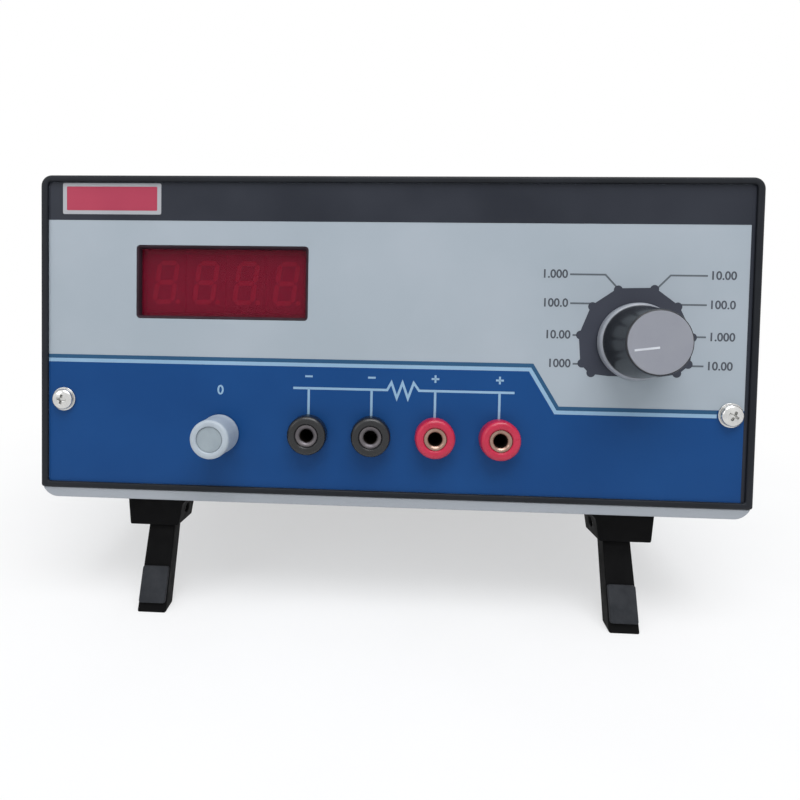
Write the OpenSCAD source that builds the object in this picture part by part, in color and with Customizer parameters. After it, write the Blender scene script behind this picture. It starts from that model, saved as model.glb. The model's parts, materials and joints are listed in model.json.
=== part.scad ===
// Bench micro ohmmeter: a low box case that stands tilted on two fold-out front legs.
// Everything is drawn in the case's own frame, with X to the right, Y into the case from the
// front frame's face, and Z up from the front frame's bottom edge. stand() then tilts it on to
// its legs, with the table at zero height and the origin under the middle of the whole outline.

/* [Case] */
// Width of the case across its frames
case_w = 225; // [215:1:260]
// Height of the front and rear frames
case_h = 101; // [96:1:120]
// Depth of the case from the front frame's face to the rear frame's face
case_d = 220; // [210:1:260]
// Radius of the case's top corners
corner_r = 3.5; // [2.5:0.5:5]
// Radius of the case's bottom corners
base_r = 5.5; // [4.5:0.5:7]
// Depth of the front frame and of the rear frame
frame_d = 14; // [13:0.5:16]
// Thickness of the tray's floor, which shows as a pale lip under the front frame
tray_t = 3.2; // [2.6:0.2:4]
// Height of the tray's side walls
tray_wall_h = 14; // [12:1:18]
// Thickness of the tray's side walls
tray_wall_t = 2; // [1.5:0.25:3]
// Thickness of the cover's sheet
cover_t = 1.6; // [1.2:0.1:2]

/* [Front panel] */
// Width of the frame's rim at the sides
rim_side = 2.3; // [2:0.1:3.5]
// Width of the frame's rim along the top
rim_top = 2.1; // [1.9:0.1:3.5]
// Width of the frame's rim along the bottom
rim_base = 1.9; // [1.5:0.1:3]
// How far the printed face lies behind the frame's face
panel_recess = 1; // [0.6:0.1:1.6]
// Thickness of the printed overlay
overlay_t = 0.4; // [0.3:0.1:0.8]
// Thickness of the aluminium panels
panel_t = 2; // [1.5:0.25:3]
// Width of the ledge that a panel seats on
ledge = 2.4; // [2:0.1:2.6]
// Height of the row of sockets
low_row_z = 19.7; // [18.5:0.1:24]
// Height of the zero knob's axis
zero_z = 19; // [18.5:0.1:24]
// Place of the display and the zero knob, left of the middle
left_col_x = -53.4; // [-58:0.2:-51]
// Distance of the two panel screws from the case's sides
screw_inset = 7.5; // [7.3:0.05:8.5]
// Height of the two panel screws
screw_row_z = 28.9; // [24:0.1:40]

/* [Display] */
// Width of the display window
window_w = 55.6; // [53:0.2:60]
// Height of the display window
window_h = 23.5; // [21.5:0.5:26]
// Height from the middle of the window up to the top of the case
window_z = 33.7; // [29:0.1:39]
// Corner radius of the window
window_r = 1.2; // [0.6:0.2:2]
// Thickness of the red filter
filter_t = 2; // [1.5:0.25:3]
// Width of one digit block
digit_w = 12.6; // [11.5:0.1:12.9]
// Gap between neighbouring digit blocks
digit_gap = 0.7; // [0.2:0.1:1]
// Height of one digit block
digit_h = 19; // [17:0.25:20]
// Thickness of one digit block
digit_t = 8; // [6:0.5:10]

/* [Range knob] */
// Distance of the range knob's axis from the case's right side
knob_inset = 36.5; // [30:0.5:42]
// Height of the range knob's axis
knob_z = 50.9; // [46:0.1:58]
// Radius of the range knob's skirt
knob_r = 11.9; // [11.2:0.1:14]
// Radius of the range knob at its top edge
knob_top_r = 9.4; // [9.3:0.1:11]
// How far the range knob stands out of the printed face
knob_h = 17.6; // [16:0.2:20]
// Radius of the grey disc in the top of the range knob
disc_r = 9; // [8:0.1:9]
// Radius of the range switch's shaft
range_shaft_r = 3; // [2.5:0.25:3.175]

/* [Zero knob] */
// Radius of the zero knob
zero_r = 6.2; // [6:0.1:7]
// How far the zero knob stands out of the printed face
zero_h = 12.6; // [12:0.2:16]
// Radius of the small disc in the top of the zero knob
zero_disc_r = 3.9; // [3:0.1:4.6]
// Radius of the zero control's shaft
zero_shaft_r = 2; // [1.5:0.25:2]

/* [Sockets] */
// Distance between neighbouring sockets
socket_pitch = 20; // [19:0.25:21]
// Place of the middle of the row of sockets, right of the case's middle
socket_mid_x = 5.1; // [3:0.1:8]
// Radius of a socket's insulating head
head_r = 6.2; // [5.8:0.1:7]
// How far a socket's head stands out of the printed face
head_h = 5.4; // [4:0.2:7]
// Radius of the metal sleeve
sleeve_r = 3.5; // [3:0.1:3.6]
// Radius of the bore, which takes a 4 mm plug
plug_bore_r = 2.1; // [2.05:0.05:2.3]
// Depth of the bore
plug_depth = 18; // [15:0.5:18.5]

/* [Feet and legs] */
// Distance of the legs and feet from the case's sides
leg_inset = 37.2; // [24:0.1:46]
// Width of a foot block
block_w = 22; // [21:0.5:26]
// Depth of a foot block
block_d = 14; // [13.5:0.5:18]
// Height of a foot block
block_h = 10.4; // [10:0.2:12]
// Distance of the foot blocks' front from the frame's face
block_y = 7; // [6.5:0.5:20]
// Distance of the rear feet from the rear frame's face
foot_inset = 12; // [11:0.5:30]
// Width of a leg at its hinge
leg_w = 8.6; // [8:0.1:9]
// Width of a leg at its tip
leg_tip_w = 9.4; // [8:0.1:10]
// Thickness of a leg
leg_t = 6; // [5:0.2:6.2]
// Length of a leg from its hinge to the table
leg_len = 32.4; // [28:0.1:45]
// How far a leg leans forward when it is out, in degrees
leg_lean = 19.5; // [12:0.5:22]
// Radius of a leg's hinge pin
pin_r = 1.5; // [1.25:0.05:1.6]
// Length of the rubber pad on a leg
pad_l = 11.5; // [8:0.5:13]
// Thickness of the rubber pad on a leg
pad_t = 1.2; // [0.8:0.1:1.4]

/* [Rear panel] */
// Height of the row of rear fittings
rear_row_z = 36; // [32:0.5:45]
// Place of the mains inlet, from the middle
inlet_x = -66; // [-72:0.5:-60]
// Place of the fuse holder, from the middle
fuse_x = -22; // [-26:0.5:-20]
// Place of the power switch, from the middle
rocker_x = 12; // [8:0.5:16]
// Number of slots in the rear panel
rear_slots = 6; // [3:1:6]

/* [Electronics] */
// Width of the main board
board_w = 100; // [90:1:106]
// Depth of the main board
board_d = 118; // [110:1:122]
// Height of the main board above the tray's floor
board_rise = 8; // [6:0.5:10]
// Width of the transformer's core
core_w = 52; // [46:1:56]
// Height of the transformer's core
core_h = 43; // [38:1:50]
// Stack of the transformer's core
core_stack = 24; // [20:1:28]

/* [Hidden] */
$fn = 64;

// Fits and small values that several pieces share
overrun = 1;
flat_fit = 0.2;
turn_fit = 0.05;
pin_fit = 0.02;
knob_gap = 0.5;
hex_sides = 6;

// Screws: every one is the same size
screw_r = 1.5;
screw_core_r = 1.55;
screw_hole_r = 1.8;
screw_head_r = 2.8;
screw_head_h = 1.8;
cross_w = 0.9;
cross_l = 3.8;
cross_depth = 1.1;

// Levels through the front, measured into the case
half_w = case_w / 2;
knob_x = half_w - knob_inset;
leg_x = half_w - leg_inset;
face_y = panel_recess;
panel_y = face_y + overlay_t;
panel_back_y = panel_y + panel_t;
panel_left = rim_side - half_w;
panel_w = case_w - 2 * rim_side;
panel_h = case_h - rim_top - rim_base;
panel_corner_r = 1;
window_mid_z = case_h - window_z;

// Tray details
lip_setback = 0.6;
wall_x = half_w - cover_t - flat_fit - tray_wall_t;
post_w = 8;
post_t = 6;
post_y = frame_d + flat_fit;
post_boss_r = 2.6;
board_boss_r = 3.5;
board_screw_inset = 5;

// Cover details
cover_screw_z = 8;
cover_screw_inset = 26;
spigot_t = 1.8;
spigot_l = 6;
spigot_z = 34;
slot_w = 3;
slot_pitch = 7;
slot_h = 34;
slot_z = 42;
side_slots = 9;
side_slots_y = 128;

// Display details
filter_lap = 3;
holder_wall = 3;
holder_rib_t = 0.8;
holder_rib_w = 2.6;
digits = 4;
filter_y = panel_back_y;
digit_y = filter_y + filter_t + holder_rib_t;
display_board_y = digit_y + digit_t;
pcb_t = 1.6;

// Range control details
range_bush_r = 4.7;
range_bush_out = 3;
range_nut_flats = 14;
range_nut_t = 2.2;
range_body_r = 14;
range_body_t = 6.5;
wafer_r = 15;
wafer_t = 1.6;
wafer_gap = 8;
wafer_hole_r = 4;
stud_r = 1.5;
stud_spread = 11.5;
stud_over = 5;
rotor_r = 6.5;
rotor_t = 1;
rotor_gap = 0.4;
knob_recess_r = range_nut_flats / 2 / cos(30) + knob_gap;
knob_recess_h = range_bush_out + knob_gap;
skirt_t = 2.4;
knob_edge = 0.6;
knob_top_edge = 0.2;
disc_t = 1.4;
disc_proud = 0.15;
knob_shaft_cover = 3;
shaft_fit = 0.03;

// Zero control details
zero_bush_r = 2.9;
zero_bush_out = 2.6;
zero_nut_flats = 8;
zero_nut_t = 1.8;
zero_body_r = 8.2;
zero_body_t = 9;
zero_recess_r = zero_nut_flats / 2 / cos(30) + 0.6 * knob_gap;
zero_recess_h = zero_bush_out + knob_gap;
zero_edge = 0.6;
zero_disc_t = 1.2;
zero_disc_sink = 0.5;
zero_shaft_cover = 3;
tag_w = 2.2;
tag_t = 0.6;
tag_l = 7;
tag_reach = 4;

// Socket details
sockets = 4;
head_taper = 0.7;
head_edge = 0.6;
sleeve_sink = 0.4;
sleeve_end = 2.4;
shank_r = 4;
shank_fit = 0.1;
washer_r = 6;
washer_t = 1;
socket_nut_flats = 10;
socket_nut_t = 2.6;
lug_t = 0.7;
lug_r = 5;
lug_l = 9;
lug_w = 3;

// Panel screw washers
panel_washer_r = 3.8;
panel_washer_t = 0.6;
panel_head_r = 3.3;
panel_head_h = 1.9;
panel_screw_l = 13;

// Leg and foot details
block_draft = 0.8;
flare_w = 2.4;
flare_h = 3.3;
cheek_t = 1.6;
leg_gap = 0.4;
hinge_drop = 6;
stop_gap = 0.3;
pin_inset = 0.3;
pad_w_share = 0.92;
pad_up = 1.5;
base_screw_l = 8;
foot_screw_back = 3.1;

// Rear panel details
rear_panel_y = case_d - panel_recess - panel_t;
rear_corner_r = 5;
rear_screw_inset = 6.6;
inlet_flange_w = 50;
inlet_flange_h = 23;
inlet_flange_t = 2.5;
inlet_body_w = 28;
inlet_body_h = 20;
inlet_depth = 21;
inlet_mouth_w = 24.6;
inlet_mouth_h = 16.4;
inlet_mouth_depth = 17;
inlet_screw_x = 20;
inlet_pin_w = 2;
inlet_pin_h = 4;
inlet_pin_l = 12;
inlet_pin_back = 6;
inlet_pin_pitch = 7;
inlet_pin_rise = 2;
fuse_body_r = 6.4;
fuse_flange_r = 8.5;
fuse_flange_t = 2.4;
fuse_body_l = 30;
fuse_wall = 1.5;
fuse_cap_out = 6.5;
fuse_cap_r = 5.8;
fuse_cap_edge = 0.8;
fuse_r = 2.6;
fuse_l = 20;
fuse_cup_r = 3.6;
fuse_cup_l = 5;
fuse_seat = 1.5;
rocker_frame_w = 21;
rocker_frame_h = 27;
rocker_frame_t = 2;
rocker_body_w = 18.6;
rocker_body_h = 24.6;
rocker_body_d = 20;
rocker_gap = 0.4;
rocker_wall = 2;
rocker_well = 10.5;
rocker_hinge_in = 5;
rocker_travel = 9;
rocker_pin_r = 1.4;
rocker_crown = 3.2;
rear_slot_w = 3;
rear_slot_h = 36;
rear_slot_pitch = 7.5;
rear_slot_x = 52;

// Board details
board_gap = 4.7;
board_y = 40;
board_z = board_rise;
board_x = wall_x - board_gap - board_w;
capacitor_r = 8;
capacitor_h = 26;
capacitors = 2;
capacitor_pitch = 20;
chip_w = 7.6;
chip_l = 19;
chip_h = 4;
chips = 4;
chip_pitch = 13;
sink_w = 30;
sink_h = 25;
sink_t = 2;
sink_fins = 5;
sink_fin_l = 12;
relay_w = 20;
relay_l = 28;
relay_h = 16;
header_w = 24;
header_l = 8;
header_h = 9;
part_margin = 10;

// Transformer details
core_gap = 1.7;
core_y = 120;
core_lift = 1.5;
core_foot_w = 9;
core_limb_share = 0.25;
window_share = 0.24;
winding_fit = 0.4;
winding_swell = 9;

// Where the legs and the rear feet meet the table, and the tilt that this gives the case
hinge_y = block_y + block_d / 2;
hinge_z = -tray_t - hinge_drop;
tip_y = hinge_y - leg_len * sin(leg_lean);
tip_z = hinge_z - leg_len * cos(leg_lean);
heel_y = case_d - foot_inset;
heel_z = -tray_t - block_h;
tilt = atan2(heel_z - tip_z, heel_y - tip_y);

function back_of(y, z) = y * cos(tilt) + z * sin(tilt);
function up_of(y, z) = z * cos(tilt) - y * sin(tilt);

knob_front_y = face_y - knob_h;
zero_front_y = face_y - zero_h;
fuse_out_y = rear_panel_y + panel_t + fuse_flange_t + fuse_cap_out;
front_reach = min(back_of(knob_front_y - disc_proud, knob_z - disc_r),
    back_of(knob_front_y, knob_z - knob_top_r + knob_top_edge),
    back_of(zero_front_y, zero_z - zero_r + zero_edge));
rear_reach = max(back_of(case_d, case_h), back_of(fuse_out_y, rear_row_z + fuse_cap_r));
stand_y = -(front_reach + rear_reach) / 2;
stand_z = -up_of(tip_y, tip_z);

// Helpers

// Tilts the case's frame on to the legs
module stand() {
    translate([0, stand_y, stand_z]) rotate([-tilt, 0, 0]) children();
}

// Extrudes a drawing in X and Z along Y
module along_y(y, length) {
    translate([0, y + length, 0]) rotate([90, 0, 0]) linear_extrude(length) children();
}

// A round bar along Y
module rod_y(x, z, y, length, r) {
    translate([x, y + length, z]) rotate([90, 0, 0]) cylinder(h = length, r = r);
}

// A hexagonal nut along Y, from its width across flats
module hex_y(x, z, y, length, flats) {
    translate([x, y + length, z]) rotate([90, 0, 0])
        cylinder(h = length, r = flats / 2 / cos(180 / hex_sides), $fn = hex_sides);
}

// Turns a profile of radius and height round an axis that comes out of the front
module turned_out(x, z, y) {
    translate([x, y, z]) rotate([90, 0, 0]) rotate_extrude() children();
}

// Turns a profile of radius and height round an axis that runs to the back
module turned_back(x, z, y) {
    translate([x, y, z]) rotate([-90, 0, 0]) rotate_extrude() children();
}

// A rectangle with round corners, from its lower left corner
module rounded(x, z, w, h, r) {
    translate([x + r, z]) square([w - 2 * r, h]);
    translate([x, z + r]) square([w, h - 2 * r]);
    for (cx = [x + r, x + w - r], cz = [z + r, z + h - r]) translate([cx, cz]) circle(r);
}

// A rounded rectangle about its middle
module rounded_mid(x, z, w, h, r) {
    rounded(x - w / 2, z - h / 2, w, h, r);
}

// The cross recess of a screw head, cut into a face at zero height
module cross_recess() {
    for (a = [0, 90]) rotate([0, 0, a])
        translate([-cross_l / 2, -cross_w / 2, -cross_depth])
            cube([cross_l, cross_w, cross_depth + overrun]);
}

// A pan-head screw pointing down, seated at zero height
module pan_screw(length, head_r, head_h) {
    difference() {
        union() {
            rotate_extrude() intersection() {
                square([head_r, head_h]);
                translate([0, head_h - pan_dome(head_r, head_h)])
                    circle(pan_dome(head_r, head_h));
            }
            translate([0, 0, -length]) cylinder(h = length + head_h / 2, r = screw_r);
        }
        translate([0, 0, head_h]) cross_recess();
    }
}

// The dome radius of a pan head that falls to half its height at the rim
function pan_dome(head_r, head_h) = (head_r * head_r + head_h * head_h / 4) / head_h;

// The outline of the closed case seen from the front
module case_outline() {
    translate([-half_w, base_r - tray_t]) square([case_w, case_h + tray_t - base_r - corner_r]);
    translate([base_r - half_w, -tray_t])
        square([case_w - 2 * base_r, case_h + tray_t - corner_r]);
    translate([corner_r - half_w, base_r - tray_t])
        square([case_w - 2 * corner_r, case_h + tray_t - base_r]);
    for (s = [-1, 1]) {
        translate([s * (half_w - base_r), base_r - tray_t]) circle(base_r);
        translate([s * (half_w - corner_r), case_h - corner_r]) circle(corner_r);
    }
}

// The part of that outline above the tray's floor
module frame_outline() {
    intersection() {
        case_outline();
        translate([-case_w, 0]) square([2 * case_w, 2 * case_h]);
    }
}

// The outline of a panel, grown by a fit or shrunk by a ledge
module panel_outline(grow) {
    rounded(panel_left - grow, rim_base - grow, panel_w + 2 * grow, panel_h + 2 * grow,
        panel_corner_r);
}

// The ring that joins a frame to the cover above the tray's walls
module spigot(y) {
    along_y(y, spigot_l) intersection() {
        difference() {
            offset_case(cover_t + flat_fit);
            offset_case(cover_t + flat_fit + spigot_t);
        }
        translate([-case_w, spigot_z]) square([2 * case_w, case_h]);
    }
}

// The case's inner outline, a given distance inside its sides and top
module offset_case(inset) {
    inner_r = max(corner_r - inset, panel_corner_r);
    translate([inset - half_w, -overrun])
        square([case_w - 2 * inset, case_h - inset - inner_r + overrun]);
    translate([inset + inner_r - half_w, 0])
        square([case_w - 2 * (inset + inner_r), case_h - inset]);
    for (s = [-1, 1])
        translate([s * (half_w - inset - inner_r), case_h - inset - inner_r]) circle(inner_r);
}

// Case

module front_frame() {
    color([0.13, 0.14, 0.16]) stand() {
        difference() {
            along_y(0, frame_d) frame_outline();
            along_y(-overrun, overrun + panel_back_y) panel_outline(flat_fit);
            along_y(0, frame_d + overrun) panel_outline(-ledge);
        }
        spigot(frame_d);
    }
}

module rear_frame() {
    color([0.13, 0.14, 0.16]) stand() difference() {
        union() {
            difference() {
                along_y(case_d - frame_d, frame_d) frame_outline();
                along_y(case_d - frame_d - overrun, frame_d + 2 * overrun)
                    panel_outline(-ledge);
            }
            spigot(case_d - frame_d - spigot_l);
            along_y(case_d - frame_d, frame_d) rear_screw_places() circle(rear_corner_r);
        }
        along_y(rear_panel_y, panel_t + panel_recess + overrun) panel_outline(flat_fit);
        along_y(case_d - frame_d - overrun, frame_d + 2 * overrun)
            rear_screw_places() circle(screw_core_r);
    }
}

// The four corners of the rear panel where its screws go
module rear_screw_places() {
    for (x = [panel_left + rear_screw_inset, panel_left + panel_w - rear_screw_inset],
        z = [rim_base + rear_screw_inset, rim_base + panel_h - rear_screw_inset])
        translate([x, z]) children();
}

module top_cover() {
    length = case_d - 2 * frame_d;
    color([0.66, 0.68, 0.7]) stand() difference() {
        along_y(frame_d, length) difference() {
            frame_outline();
            offset_case(cover_t);
        }
        for (i = [0 : side_slots - 1])
            translate([-case_w, side_slots_y + i * slot_pitch, slot_z])
                cube([2 * case_w, slot_w, slot_h]);
        cover_screw_places() cylinder(h = tray_wall_t + cover_t + overrun, r = screw_hole_r);
    }
}

// The four places of the cover's screws, each with Z out of the side
module cover_screw_places() {
    for (s = [-1, 1], y = [frame_d + cover_screw_inset, case_d - frame_d - cover_screw_inset])
        translate([s * (wall_x - overrun / 2), y, cover_screw_z]) rotate([0, s * 90, 0])
            children();
}

module cover_screws() {
    length = cover_t + flat_fit + tray_wall_t + overrun;
    color([0.75, 0.75, 0.76]) stand() cover_screw_places()
        translate([0, 0, overrun / 2 + tray_wall_t + flat_fit + cover_t])
            pan_screw(length, screw_head_r, screw_head_h);
}

module bottom_tray() {
    wall_len = case_d - 2 * frame_d - 2 * flat_fit;
    color([0.66, 0.68, 0.7]) stand() difference() {
        union() {
            along_y(lip_setback, case_d - 2 * lip_setback) intersection() {
                case_outline();
                translate([-case_w, -2 * tray_t]) square([2 * case_w, 2 * tray_t]);
            }
            for (s = [-1, 1]) {
                translate([s * (wall_x + tray_wall_t / 2) - tray_wall_t / 2, post_y, -overrun / 2])
                    cube([tray_wall_t, wall_len, tray_wall_h + overrun / 2]);
                translate([s * (half_w - screw_inset) - post_w / 2, post_y, -overrun / 2])
                    cube([post_w, post_t, screw_row_z + post_boss_r + overrun / 2]);
                rod_y(s * (half_w - screw_inset), screw_row_z, panel_back_y,
                    post_y + post_t - panel_back_y, post_boss_r);
            }
            board_screw_places() translate([0, 0, -overrun / 2])
                cylinder(h = board_rise + overrun / 2, r = board_boss_r);
        }
        for (s = [-1, 1])
            rod_y(s * (half_w - screw_inset), screw_row_z, 0, frame_d + post_t + overrun,
                screw_core_r);
        board_screw_places() translate([0, 0, overrun])
            cylinder(h = board_rise, r = screw_core_r);
        cover_screw_places() cylinder(h = tray_wall_t + overrun, r = screw_core_r);
        foot_screw_places() translate([0, 0, -tray_t - overrun])
            cylinder(h = tray_t + 2 * overrun, r = screw_hole_r);
    }
}

// The four corners of the main board, at the tray's floor
module board_screw_places() {
    for (x = [board_x + board_screw_inset, board_x + board_w - board_screw_inset],
        y = [board_y + board_screw_inset, board_y + board_d - board_screw_inset])
        translate([x, y, 0]) children();
}

// The screws of the four feet, at the tray's floor
module foot_screw_places() {
    cheek_mid = (block_w / 2 + leg_w / 2 + leg_gap) / 2;
    for (s = [-1, 1]) {
        translate([s * (leg_x + cheek_mid), block_y + block_d - foot_screw_back, 0]) children();
        translate([s * leg_x, heel_y - block_d / 2, 0]) children();
    }
}

module base_screws() {
    color([0.75, 0.75, 0.76]) stand() {
        foot_screw_places() pan_screw(base_screw_l, screw_head_r, screw_head_h);
        board_screw_places() translate([0, 0, board_rise + pcb_t])
            pan_screw(board_rise, screw_head_r, screw_head_h);
    }
}

// Front panel

module front_panel() {
    color([0.78, 0.79, 0.8]) stand() difference() {
        along_y(panel_y, panel_t) panel_outline(0);
        front_holes(panel_y);
    }
}

module panel_overlay() {
    color([0.64, 0.68, 0.71]) stand() difference() {
        along_y(face_y, overlay_t) panel_outline(0);
        front_holes(face_y);
    }
}

// Every hole that the overlay and the panel share
module front_holes(y) {
    deep = overlay_t + panel_t + 2 * overrun;
    along_y(y - overrun, deep) {
        rounded_mid(left_col_x, window_mid_z, window_w, window_h, window_r);
        translate([knob_x, knob_z]) circle(range_bush_r + flat_fit);
        translate([left_col_x, zero_z]) circle(zero_bush_r + flat_fit);
        for (i = [0 : sockets - 1])
            translate([socket_x(i), low_row_z]) circle(shank_r + shank_fit);
        for (s = [-1, 1])
            translate([s * (half_w - screw_inset), screw_row_z]) circle(screw_hole_r);
    }
}

module panel_screws() {
    color([0.8, 0.8, 0.8]) stand() for (s = [-1, 1])
        translate([s * (half_w - screw_inset), face_y - panel_washer_t, screw_row_z])
            rotate([90, 0, 0]) pan_screw(panel_screw_l, panel_head_r, panel_head_h);
}

module panel_washers() {
    color([0.8, 0.8, 0.8]) stand() for (s = [-1, 1]) difference() {
        rod_y(s * (half_w - screw_inset), screw_row_z, face_y - panel_washer_t,
            panel_washer_t, panel_washer_r);
        rod_y(s * (half_w - screw_inset), screw_row_z, face_y - 2 * panel_washer_t,
            3 * panel_washer_t, screw_core_r);
    }
}

// Display

module display_filter() {
    color([0.45, 0.05, 0.1]) stand() along_y(filter_y, filter_t)
        rounded_mid(left_col_x, window_mid_z, window_w + 2 * filter_lap,
            window_h + 2 * filter_lap, window_r);
}

module display_holder() {
    outer = 2 * (filter_lap + flat_fit + holder_wall);
    inner = 2 * (filter_lap + flat_fit);
    rib = inner - 2 * holder_rib_w;
    color([0.1, 0.1, 0.11]) stand() difference() {
        along_y(filter_y, display_board_y - filter_y)
            rounded_mid(left_col_x, window_mid_z, window_w + outer, window_h + outer, window_r);
        along_y(filter_y - overrun, filter_t + overrun)
            rounded_mid(left_col_x, window_mid_z, window_w + inner, window_h + inner, window_r);
        along_y(filter_y, display_board_y + overrun)
            rounded_mid(left_col_x, window_mid_z, window_w + rib, window_h + rib, window_r);
    }
}

module led_digit(i) {
    x = left_col_x + (i - (digits - 1) / 2) * (digit_w + digit_gap);
    color([0.62, 0.6, 0.6]) stand()
        translate([x - digit_w / 2, digit_y, window_mid_z - digit_h / 2])
            cube([digit_w, digit_t, digit_h]);
}

module display_board() {
    outer = 2 * (filter_lap + flat_fit + holder_wall);
    color([0.1, 0.35, 0.2]) stand() along_y(display_board_y, pcb_t)
        rounded_mid(left_col_x, window_mid_z, window_w + outer, window_h + outer, window_r);
}

// Range knob and its switch

module range_knob() {
    shaft_end = knob_h - knob_shaft_cover;
    color([0.17, 0.18, 0.2]) stand() turned_out(knob_x, knob_z, face_y) difference() {
        polygon([[0, knob_gap], [knob_r, knob_gap], [knob_r, skirt_t],
            [knob_r - knob_edge, skirt_t + knob_edge], [knob_top_r, knob_h - knob_top_edge],
            [knob_top_r - knob_top_edge, knob_h], [0, knob_h]]);
        translate([0, knob_gap - overrun]) square([knob_recess_r, knob_recess_h + overrun]);
        square([range_shaft_r + shaft_fit, shaft_end + shaft_fit]);
        translate([0, knob_h - disc_t]) square([disc_r + turn_fit, disc_t + overrun]);
    }
}

module range_knob_disc() {
    color([0.6, 0.61, 0.64]) stand()
        rod_y(knob_x, knob_z, knob_front_y - disc_proud, disc_t + disc_proud, disc_r);
}

// Where the two wafers start, behind the panel
function wafer_y(i) = panel_back_y + range_body_t + wafer_gap + i * (wafer_gap + wafer_t);

module range_shaft() {
    front_y = face_y - knob_h + knob_shaft_cover;
    color([0.7, 0.7, 0.72]) stand() {
        rod_y(knob_x, knob_z, front_y, wafer_y(1) + wafer_t + rotor_t - front_y, range_shaft_r);
        for (i = [0, 1])
            rod_y(knob_x, knob_z, wafer_y(i) - rotor_gap - rotor_t, rotor_t, rotor_r);
    }
}

module range_nut() {
    color([0.8, 0.78, 0.7]) stand() difference() {
        hex_y(knob_x, knob_z, face_y - range_nut_t, range_nut_t, range_nut_flats);
        rod_y(knob_x, knob_z, face_y - range_nut_t - overrun, range_nut_t + 2 * overrun,
            range_bush_r + turn_fit);
    }
}

module range_switch() {
    stud_l = wafer_y(1) + wafer_t + stud_over - panel_back_y;
    color([0.72, 0.73, 0.74]) stand() {
        difference() {
            union() {
                rod_y(knob_x, knob_z, panel_back_y, range_body_t, range_body_r);
                rod_y(knob_x, knob_z, face_y - range_bush_out, panel_back_y - face_y
                    + range_bush_out + overrun, range_bush_r);
                for (s = [-1, 1])
                    rod_y(knob_x + s * stud_spread, knob_z, panel_back_y, stud_l, stud_r);
            }
            rod_y(knob_x, knob_z, face_y - range_bush_out - overrun,
                panel_back_y + range_body_t + range_bush_out + 2 * overrun,
                range_shaft_r + turn_fit);
        }
    }
}

module switch_wafers() {
    color([0.55, 0.4, 0.2]) stand() for (i = [0, 1]) difference() {
        rod_y(knob_x, knob_z, wafer_y(i), wafer_t, wafer_r);
        rod_y(knob_x, knob_z, wafer_y(i) - overrun, wafer_t + 2 * overrun, wafer_hole_r);
        for (s = [-1, 1])
            rod_y(knob_x + s * stud_spread, knob_z, wafer_y(i) - overrun,
                wafer_t + 2 * overrun, stud_r + turn_fit);
    }
}

// Zero knob and its control

module zero_knob() {
    shaft_end = zero_h - zero_shaft_cover;
    color([0.78, 0.8, 0.82]) stand() turned_out(left_col_x, zero_z, face_y) difference() {
        polygon([[0, knob_gap], [zero_r, knob_gap], [zero_r, zero_h - zero_edge],
            [zero_r - zero_edge, zero_h], [0, zero_h]]);
        translate([0, knob_gap - overrun]) square([zero_recess_r, zero_recess_h + overrun]);
        square([zero_shaft_r + shaft_fit, shaft_end + shaft_fit]);
        translate([0, zero_h - zero_disc_t - zero_disc_sink])
            square([zero_disc_r + turn_fit, zero_disc_t + zero_disc_sink + overrun]);
    }
}

module zero_knob_disc() {
    color([0.7, 0.73, 0.76]) stand()
        rod_y(left_col_x, zero_z, zero_front_y + zero_disc_sink, zero_disc_t, zero_disc_r);
}

module zero_shaft() {
    front_y = face_y - zero_h + zero_shaft_cover;
    color([0.7, 0.7, 0.72]) stand()
        rod_y(left_col_x, zero_z, front_y, panel_back_y + zero_body_t / 2 - front_y,
            zero_shaft_r);
}

module zero_nut() {
    color([0.8, 0.78, 0.7]) stand() difference() {
        hex_y(left_col_x, zero_z, face_y - zero_nut_t, zero_nut_t, zero_nut_flats);
        rod_y(left_col_x, zero_z, face_y - zero_nut_t - overrun, zero_nut_t + 2 * overrun,
            zero_bush_r + turn_fit);
    }
}

module zero_pot() {
    color([0.35, 0.4, 0.5]) stand() difference() {
        union() {
            rod_y(left_col_x, zero_z, panel_back_y, zero_body_t, zero_body_r);
            rod_y(left_col_x, zero_z, face_y - zero_bush_out,
                panel_back_y - face_y + zero_bush_out + overrun, zero_bush_r);
            for (i = [-1, 0, 1])
                translate([left_col_x + i * 2 * tag_w - tag_w / 2,
                    panel_back_y + zero_body_t - tag_t, zero_z - zero_body_r - tag_reach])
                    cube([tag_w, tag_t, tag_reach + tag_l]);
        }
        rod_y(left_col_x, zero_z, face_y - zero_bush_out - overrun,
            panel_back_y + zero_body_t / 2 + zero_bush_out + turn_fit + overrun - face_y,
            zero_shaft_r + turn_fit);
    }
}

// Sockets

function socket_x(i) = socket_mid_x + (i - (sockets - 1) / 2) * socket_pitch;
function sleeve_back_y() = face_y - head_h + sleeve_sink + plug_depth + sleeve_end;

module socket_head(i) {
    paint = i < sockets / 2 ? [0.1, 0.1, 0.11] : [0.8, 0.12, 0.22];
    color(paint) stand() difference() {
        union() {
            turned_out(socket_x(i), low_row_z, face_y)
                polygon([[0, 0], [head_r, 0], [head_r, head_h - head_taper - head_edge],
                    [head_r - head_taper, head_h], [0, head_h]]);
            rod_y(socket_x(i), low_row_z, face_y - overrun, panel_back_y - face_y + overrun,
                shank_r);
        }
        rod_y(socket_x(i), low_row_z, face_y - head_h - overrun,
            head_h + panel_back_y + 2 * overrun, sleeve_r + pin_fit);
    }
}

module socket_sleeve(i) {
    front_y = face_y - head_h + sleeve_sink;
    color([0.8, 0.68, 0.5]) stand() difference() {
        rod_y(socket_x(i), low_row_z, front_y, plug_depth + sleeve_end, sleeve_r);
        rod_y(socket_x(i), low_row_z, front_y - overrun, plug_depth + overrun, plug_bore_r);
    }
}

module socket_washers() {
    color([0.2, 0.2, 0.22]) stand() for (i = [0 : sockets - 1])
        socket_ring(i, panel_back_y, washer_t) circle(washer_r);
}

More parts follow.
